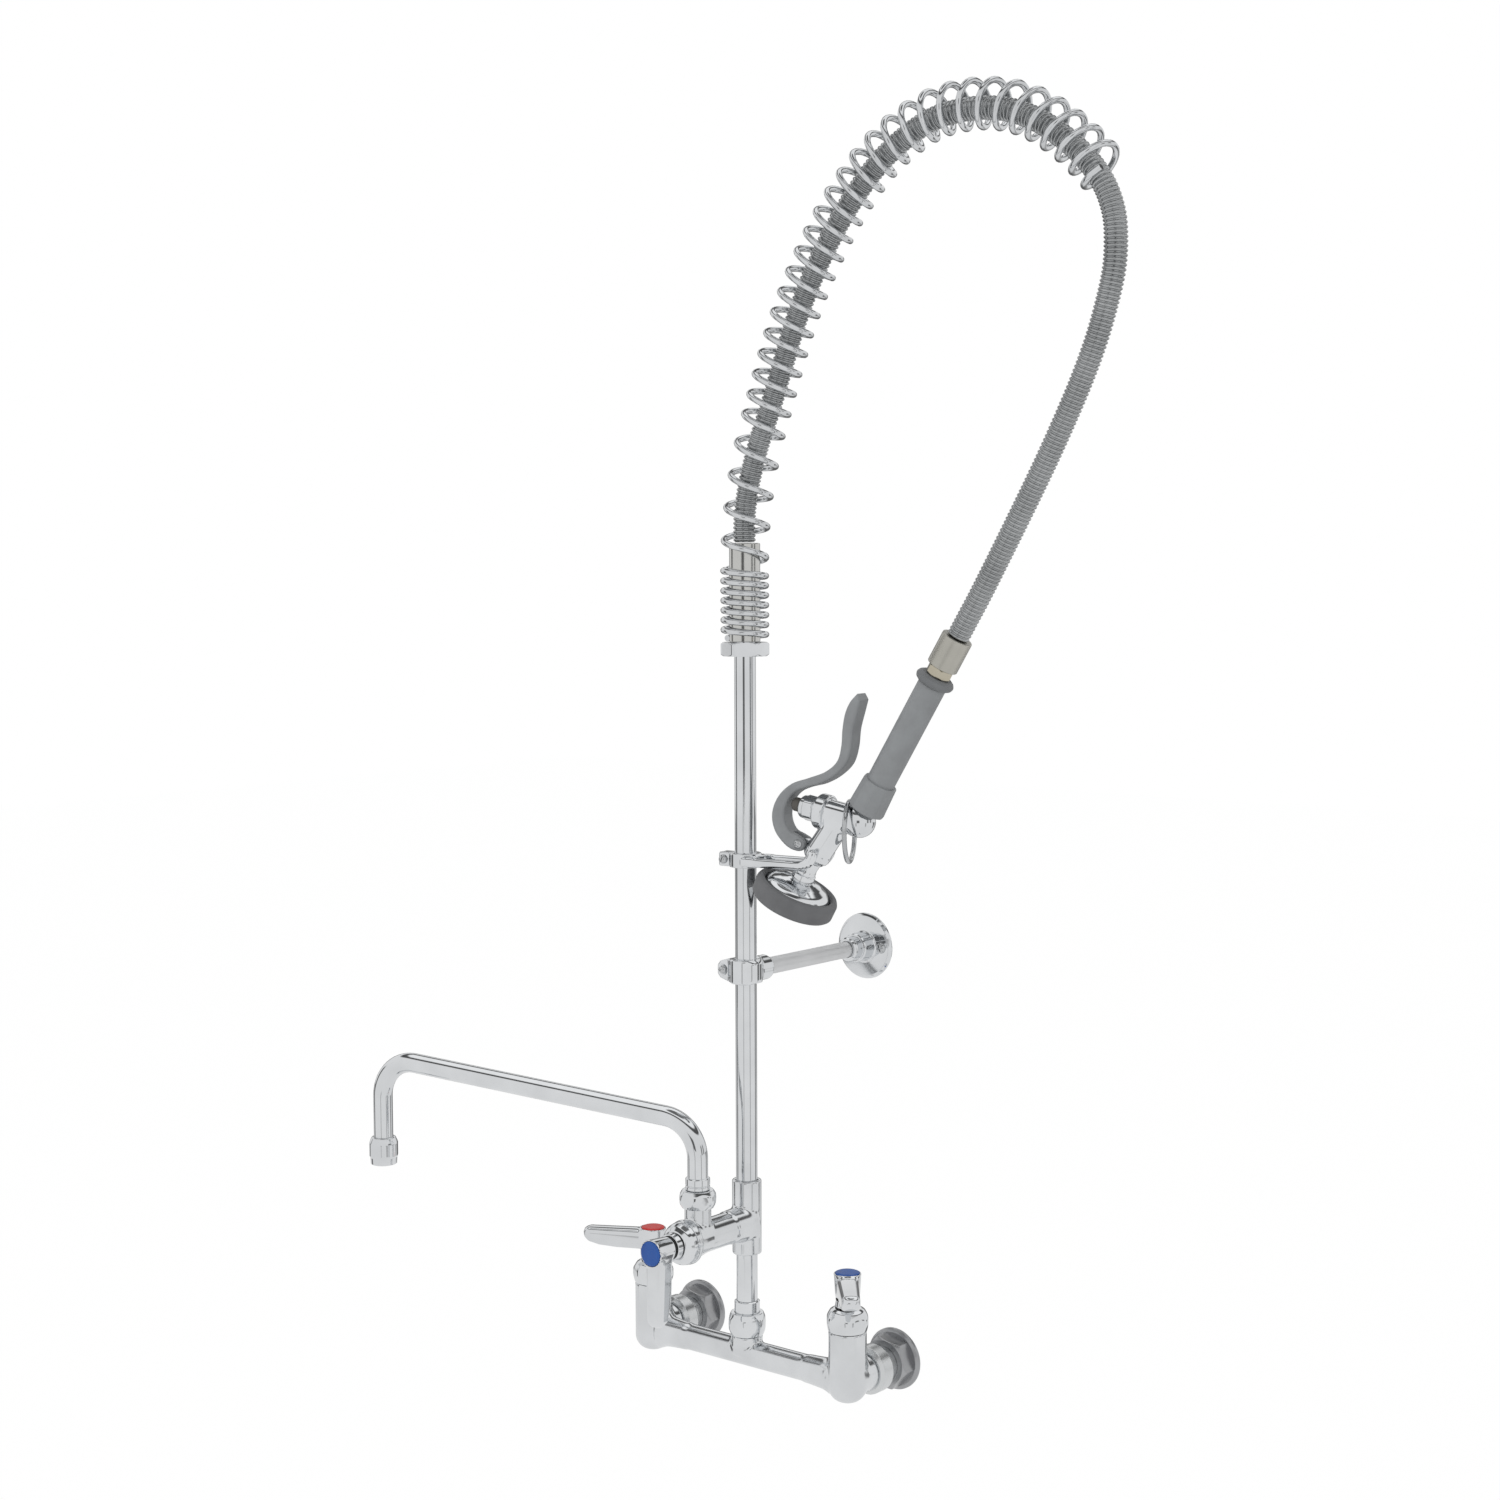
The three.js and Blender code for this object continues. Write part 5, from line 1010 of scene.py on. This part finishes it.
def dressHead(cfg):
    r, nr, socket = cfg["dome"] / 2, cfg["domeNut"] / 2, cfg["neck"] / 2 + gap
    start, nutEnd = cfg["domeNutStart"], cfg["domeNutStart"] + cfg["domeNutLength"]
    rim, wall = nutEnd + cfg["domeDepth"], cfg["domeWall"]
    shell = spun([
        (socket, start), (nr - 0.8, start, 0.4), (nr, start + 1, 0.6), (nr, nutEnd - 1.6, 0.4),
        (nr - 0.4, nutEnd - 0.8, 0.3), (r * 0.42, nutEnd + 0.2, 0.8), (r * 0.62, nutEnd + 1.6, 6.0),
        (r * 0.84, nutEnd + 4.2, 8.0), (r * 0.97, nutEnd + 8.0, 6.0), (r, rim - 2.4, 3.0), (r, rim, 0.3),
        (r - wall, rim, 0.3), (r - wall, nutEnd + 8.2, 6.0), (r * 0.75, nutEnd + 5.4, 8.0),
        (r * 0.45, nutEnd + 3, 3.0), (4, nutEnd + 2.4), (4, cfg["neckReach"] + gap),
        (socket, cfg["neckReach"] + gap)], 112, True)
    addPiece("sprayDome", [shell], headPlace, chrome, ["spray_dome"])
    low, faceR = rim + gap, r - wall
    high = low + cfg["face"]
    nozzles = [upright(low - 2, high + 3, cfg["faceHole"] / 2, edge=0.1)]
    for a in np.arange(cfg["faceHoles"]) * 2 * math.pi / cfg["faceHoles"]:
        x, y = cfg["faceCircle"] * math.cos(a), cfg["faceCircle"] * math.sin(a)
        nozzles.append(barrel((x, y, low - 2), (x, y, high + 3), cfg["faceHole"] / 2, edge=0.1))
    plate = blended([upright(low, high - 1, faceR, edge=0.4), upright(low, high, faceR - 4, edge=0.6)], 0.8)
    addCast(
        "sprayFace", carved(plate, nozzles, 0.4), (-faceR, -faceR, low), (faceR, faceR, high), 0.55,
        headPlace, screwSteel, ["spray_face"])
    back = rim + cfg["face"] + 2 * gap
    big, seat, lip = cfg["bumper"] / 2, r + gap, cfg["bumperLip"]
    b0 = back + lip - cfg["bumperDepth"]
    rubber = spun([
        (seat, b0 + 3.5, 0.6), (big - 4.5, b0 + 0.8, 2.0), (big - 1.5, b0 + 2.4, 2.0), (big, b0 + 5.5, 3.0),
        (big - 0.4, back + lip - 2, 2.0), (big - 2.4, back + lip, 1.4), (faceR - 3, back + lip, 1.0),
        (faceR - 3, back, 0.3), (seat, back, 0.3)], 112, True)
    addPiece("bumperRing", [rubber], headPlace, bumperRubber, ["bumper_ring"])


def bendRing(cfg):
    r, tilt = (cfg["ring"] - cfg["ringWire"]) / 2, math.radians(cfg["valveTilt"])
    drop = r - cfg["ringWire"] / 2 - cfg["cross"] / 2 / math.cos(tilt) - gap
    centre = (cfg["elbow"][0] - cfg["ringPlace"] * math.cos(tilt),
              cfg["elbow"][1] + cfg["ringPlace"] * math.sin(tilt) - drop)
    wireR, turns = cfg["ringWire"] / 2, np.arange(16) * math.pi / 8
    wire = spun([(r + wireR * math.cos(a), wireR * math.sin(a)) for a in turns], 96, True)
    addPiece(
        "holdDownRing", [wire],
        onHook @ at(centre[0], 0, centre[1]) @ spin(cfg["ringTurn"]) @ spin(90, "Y"), screwSteel,
        ["hold_down_ring"], "hold_down", flatten=False)


dressGrip(spray)
castValve(spray)
dressValveEnd(spray)
dressHead(spray)
bendRing(spray)
print("spray valve dressed")

squeeze = {
    "width": 15.0, "fork": 7.0, "eye": 5.4, "pin": 4.0, "pivot": (53.2, 16.3), "grid": 0.6,
    # edges from the tip to the pivot and back: out from the riser's axis, height over the hook
    "edge": [(106, 135.5), (99.5, 129), (95, 120), (92.5, 107), (91.6, 95), (88, 83), (78, 74.5), (62, 68.5),
             (46, 63), (34, 52.5), (28.6, 39), (31, 26), (40, 15.5), (46.5, 11.8), (52, 10.9),
             (57, 12.5), (58.4, 16.5), (57.2, 20), (52.5, 23.2), (45, 26.5), (41, 33), (40.2, 41), (43.4, 50),
             (50, 56.8), (59, 60.6), (73, 64.3), (86.5, 71.4), (96.5, 81), (100.8, 93.5), (102.6, 108),
             (106.3, 121), (109, 130.5)],
}


def castSqueeze(cfg):
    u, z = cfg["pivot"]
    half, eye, fork = cfg["width"] / 2, cfg["eye"], cfg["fork"] / 2
    ring = [tuple(p)[::2] for p in smoothLine([(a, 0, b) for a, b in cfg["edge"]], 150)]
    arm = blended([
        outlined(ring, (0, 2), 0, half, 2.2), barrel((u, -half, z), (u, half, z), eye, edge=1.0)], 1.0)
    whole = carved(arm, [
        block((u - eye - 1.5, -fork, z - 9), (u + 14, fork, z + 9), 0.3),
        barrel((u, -20, z), (u, 20, z), cfg["pin"] / 2 + 0.3, edge=0.1)], 0.5)
    us, zs = zip(*cfg["edge"])
    addCast(
        "squeezeLever", whole, (min(us), -half, min(zs)), (max(us), half, max(zs)), cfg["grid"], onHook,
        gripPlastic, ["squeeze_lever"], "squeeze_handle")
    pin = cfg["pin"] / 2
    rod = spun([
        (0, -half + 0.5), (pin - 0.4, -half + 0.5, 0.2), (pin, -half + 1, 0.2), (pin, half + 0.3)], 32)
    head = screwSkin(7.4, 2.0, 3.6, 4, (35, 125), 0.28)
    lifted = [(p[0], p[1], p[2] + half + 0.3) for p in head[0]]
    addPiece(
        "squeezePivotScrew", [rod, (lifted, head[1])], onHook @ at(u, 0, z) @ spin(90, "X"), screwSteel,
        ["squeeze_pivot_screw"], flatten=False)


castSqueeze(squeeze)
print("squeeze lever cast")

hook = {
    "band": 25.4, "height": 11.5, "earReach": 22.0, "earWidth": 12.0, "slot": 2.4, "screwHead": 7.6,
    "arm": 7.4, "armGap": 19.4, "reach": 71.0, "curl": 14.0, "curlAngle": 85.0, "grid": 0.6,
}


def castHook(cfg):
    r, top, spread = cfg["band"] / 2, cfg["height"] / 2, cfg["armGap"] / 2 + cfg["arm"]
    armR, far = cfg["arm"] / 2, cfg["reach"] - cfg["curl"]
    band = upright(-top, top, r, edge=1.0)
    ears = block((-cfg["earReach"], -cfg["earWidth"] / 2, -top), (0, cfg["earWidth"] / 2, top), 1.6)
    shoulder = block((4, -spread, -armR), (r + 6, spread, armR), 2.6)
    shapes = [band, ears, shoulder]
    turns = np.linspace(0, math.radians(cfg["curlAngle"]), 9)
    for y in (-(cfg["armGap"] + cfg["arm"]) / 2, (cfg["armGap"] + cfg["arm"]) / 2):
        line = [(r - 3, y, 0)]
        line += [(far + cfg["curl"] * math.sin(a), y, cfg["curl"] * (1 - math.cos(a))) for a in turns]
        edges = [1.2] * (len(line) - 2) + [armR - 0.4]  # the end is round
        shapes += [barrel(a, b, armR, edge=edge) for a, b, edge in zip(line, line[1:], edges)]
        shapes += [ball(p, armR) for p in line[1:-1]]
    whole = carved(blended(shapes, 1.2), [
        upright(-40, 40, riser["pipe"] / 2 + gap, edge=0.1),
        block((-cfg["earReach"] - 5, -cfg["slot"] / 2, -20), (0, cfg["slot"] / 2, 20), 0.1),
        block((r, -cfg["armGap"] / 2, -20), (r + 9, cfg["armGap"] / 2, 20), 1.6)], 0.6)
    addCast(
        "fingerHook", whole, (-cfg["earReach"], -spread, -top),
        (cfg["reach"] + armR, spread, cfg["curl"] + armR), cfg["grid"], onHook, chrome, ["finger_hook"])
    u, face = -(r + cfg["earReach"]) / 2, cfg["earWidth"] / 2 + gap
    addPiece(
        "hookScrew", [screwSkin(cfg["screwHead"], 2.9, 4, 11, (70,))],
        onHook @ at(u, 0, 0) @ spin(90, "X") @ at(0, 0, face), screwSteel, ["hook_screw"], flatten=False)


castHook(hook)
print("hook cast")

# what stays in the model's own shapes, hidden inside the others
hiddenFinishes = {
    "inlet_washer": blackSealAndGapShade, "outlet_washer": blackSealAndGapShade, "o_ring": blackSealAndGapShade, "cartridge": adapterBrass,
    "stem": adapterBrass, "lever_screw": screwSteel,
}
for name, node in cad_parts.items():
    for ending, finish in hiddenFinishes.items():
        if name.endswith(ending):
            node.data.materials.clear()
            node.data.materials.append(finish)
print("hidden parts finished")

studio = {
    "ground": -0.32, "groundSize": 14.0, "groundTone": 0xf2f2f2, "fill": 0.80,
    "side": 0.84, "above": 1.0, "far": 0.45,  # brightness that chrome shows: around, overhead, far floor
    "lamps": (((1.9, -2.4, 2.3), 1.6, 26.0), ((-2.4, -1.7, 1.6), 1.8, 14.0)),  # place, size, watts
    "lampsAim": (0.05, -0.07, 0.45),
    # dark strips that chrome shows: turn about the faucet, half width in degrees, darkness
    "strips": ((-109.5, 8, 0.9), (-39.5, 30, 0.75), (60, 6, 0.75), (84, 6, 0.75), (155, 10, 0.85)),
    "floorStrips": ((-109.5, 7, 0.9), (-39.5, 28, 0.7), (28, 7, 0.8), (100, 4, 0.5), (168, 4, 0.4)),
    "away": (-0.64, 0.77), "farFrom": (0.4, 2.5),  # which way the floor is far, and how far out in metres
    "ownLight": 0.99,  # share of the floor's white that doesn't come from the lamps
    "stripsFrom": (1.25, 1.75),  # metres out on the floor where they fade in
    "stripsTo": (0.17, 0.27),  # sine of the height where the room's strips fade out
    "band": 0.70, "bandHalf": 0.085, "bandTilt": 0.2, "bandDark": 0.9,  # dark band overhead
    "cap": 0.95, "capDark": 0.85,  # dark patch straight above
}


def math2(tree, operation, a, b=0.0):
    return added(tree, "Math", {0: a, 1: b}, operation=operation)[0]


def distance2(tree, a, b):
    return math2(tree, "ABSOLUTE", math2(tree, "SUBTRACT", a, b))


def fade(tree, away, half, depth):
    return stepped(tree, away, half * 0.6, half * 1.4, depth, 0.0)


# darkness of the strips, by the direction in which a point lies from the faucet
def stripsOn(tree, parts, strips):
    turn = math2(tree, "ARCTAN2", parts["X"], parts["Y"])
    dark = 0.0
    for centre, half, depth in strips:
        strip = fade(tree, distance2(tree, turn, math.radians(centre)), math.radians(half), depth)
        dark = math2(tree, "MAXIMUM", dark, strip)
    return dark


def lightRoom(cfg):
    world = bpy.data.worlds.new("studioRoom")
    scene.world = world
    world.use_nodes = True
    tree = world.node_tree
    tree.nodes.clear()
    rays = added(tree, "LightPath", {})
    parts = added(tree, "SeparateXYZ", {0: added(tree, "TexCoord", {})["Generated"]})
    rise = math2(tree, "ADD", parts["Z"], math2(tree, "MULTIPLY", parts["Y"], cfg["bandTilt"]))
    band = fade(tree, distance2(tree, rise, cfg["band"]), cfg["bandHalf"], cfg["bandDark"])
    cap = stepped(tree, parts["Z"], cfg["cap"] - 0.015, cfg["cap"] + 0.015, 0.0, cfg["capDark"])
    low = stepped(tree, parts["Z"], *cfg["stripsTo"], 1.0, 0.0)
    strips = math2(tree, "MULTIPLY", stripsOn(tree, parts, cfg["strips"]), low)
    level = stepped(tree, rise, cfg["band"] - 0.02, cfg["band"] + 0.02, cfg["side"], cfg["above"])
    dark = math2(tree, "MAXIMUM", math2(tree, "MAXIMUM", band, cap), strips)
    lit = math2(tree, "SUBTRACT", 1.0, dark)
    seen = math2(tree, "MULTIPLY", rays["Is Glossy Ray"], math2(tree, "MULTIPLY", lit, level))
    soft = math2(tree, "MULTIPLY", math2(tree, "SUBTRACT", 1.0, rays["Is Glossy Ray"]), cfg["fill"])
    strength = math2(tree, "MAXIMUM", math2(tree, "ADD", seen, soft), rays["Is Camera Ray"])
    glow = added(tree, "Background", {"Color": (1, 1, 1, 1), "Strength": strength})
    added(tree, "OutputWorld", {"Surface": glow[0]})
    for place, size, watts in cfg["lamps"]:
        lamp = bpy.data.lights.new("softLamp", "AREA")
        lamp.shape = "DISK"
        lamp.size = size
        lamp.energy = watts
        holder = bpy.data.objects.new("softLamp", lamp)
        scene.collection.objects.link(holder)
        holder.location = place
        holder.visible_glossy = False
        holder.rotation_euler = (Vector(place) - Vector(cfg["lampsAim"])).to_track_quat("Z", "Y").to_euler()


def layGround(cfg):
    half = cfg["groundSize"] / 2
    mesh = bpy.data.meshes.new("paleFloor")
    mesh.from_pydata([
        (-half, -half, cfg["ground"]), (half, -half, cfg["ground"]), (half, half, cfg["ground"]),
        (-half, half, cfg["ground"])], [], [(0, 1, 2, 3)])
    finish, tree, surface = surfaceOf("paleFloor")
    surface.inputs["Base Color"].default_value = (*tone(cfg["groundTone"]), 1)
    surface.inputs["Roughness"].default_value = 0.9
    rays = added(tree, "LightPath", {})
    place = placeOn(tree)
    parts = added(tree, "SeparateXYZ", {0: place})
    behind = math2(
        tree, "ADD", *(math2(tree, "MULTIPLY", parts[axis], share) for axis,
            share in zip("XY", cfg["away"])))
    level = stepped(tree, behind, *cfg["farFrom"], cfg["side"], cfg["far"])
    reach = added(tree, "VectorMath", {0: place}, operation="LENGTH")["Value"]
    outward = stepped(tree, reach, *cfg["stripsFrom"], 0.0, 1.0)
    strips = math2(tree, "MULTIPLY", stripsOn(tree, parts, cfg["floorStrips"]), outward)
    lit = math2(tree, "MULTIPLY", math2(tree, "SUBTRACT", 1.0, strips), level)
    through = rays["Is Transmission Ray"]
    shown = math2(tree, "MAXIMUM", rays["Is Camera Ray"], through)
    white = added(tree, "Emission", {"Color": (1, 1, 1, 1), "Strength": math2(tree, "MAXIMUM", lit, shown)})
    mirrored = math2(tree, "MAXIMUM", rays["Is Glossy Ray"], through)
    share = math2(tree, "MAXIMUM", math2(tree, "MULTIPLY", rays["Is Camera Ray"], cfg["ownLight"]), mirrored)
    mix = added(tree, "MixShader", {0: share, 1: surface.outputs[0], 2: white[0]})
    tree.links.new(mix[0], tree.nodes["Material Output"].inputs["Surface"])
    mesh.materials.append(finish)
    ground = bpy.data.objects.new("paleFloor", mesh)
    scene.collection.objects.link(ground)


lightRoom(studio)
layGround(studio)
scene.view_settings.view_transform = "Standard"
print("studio lit")
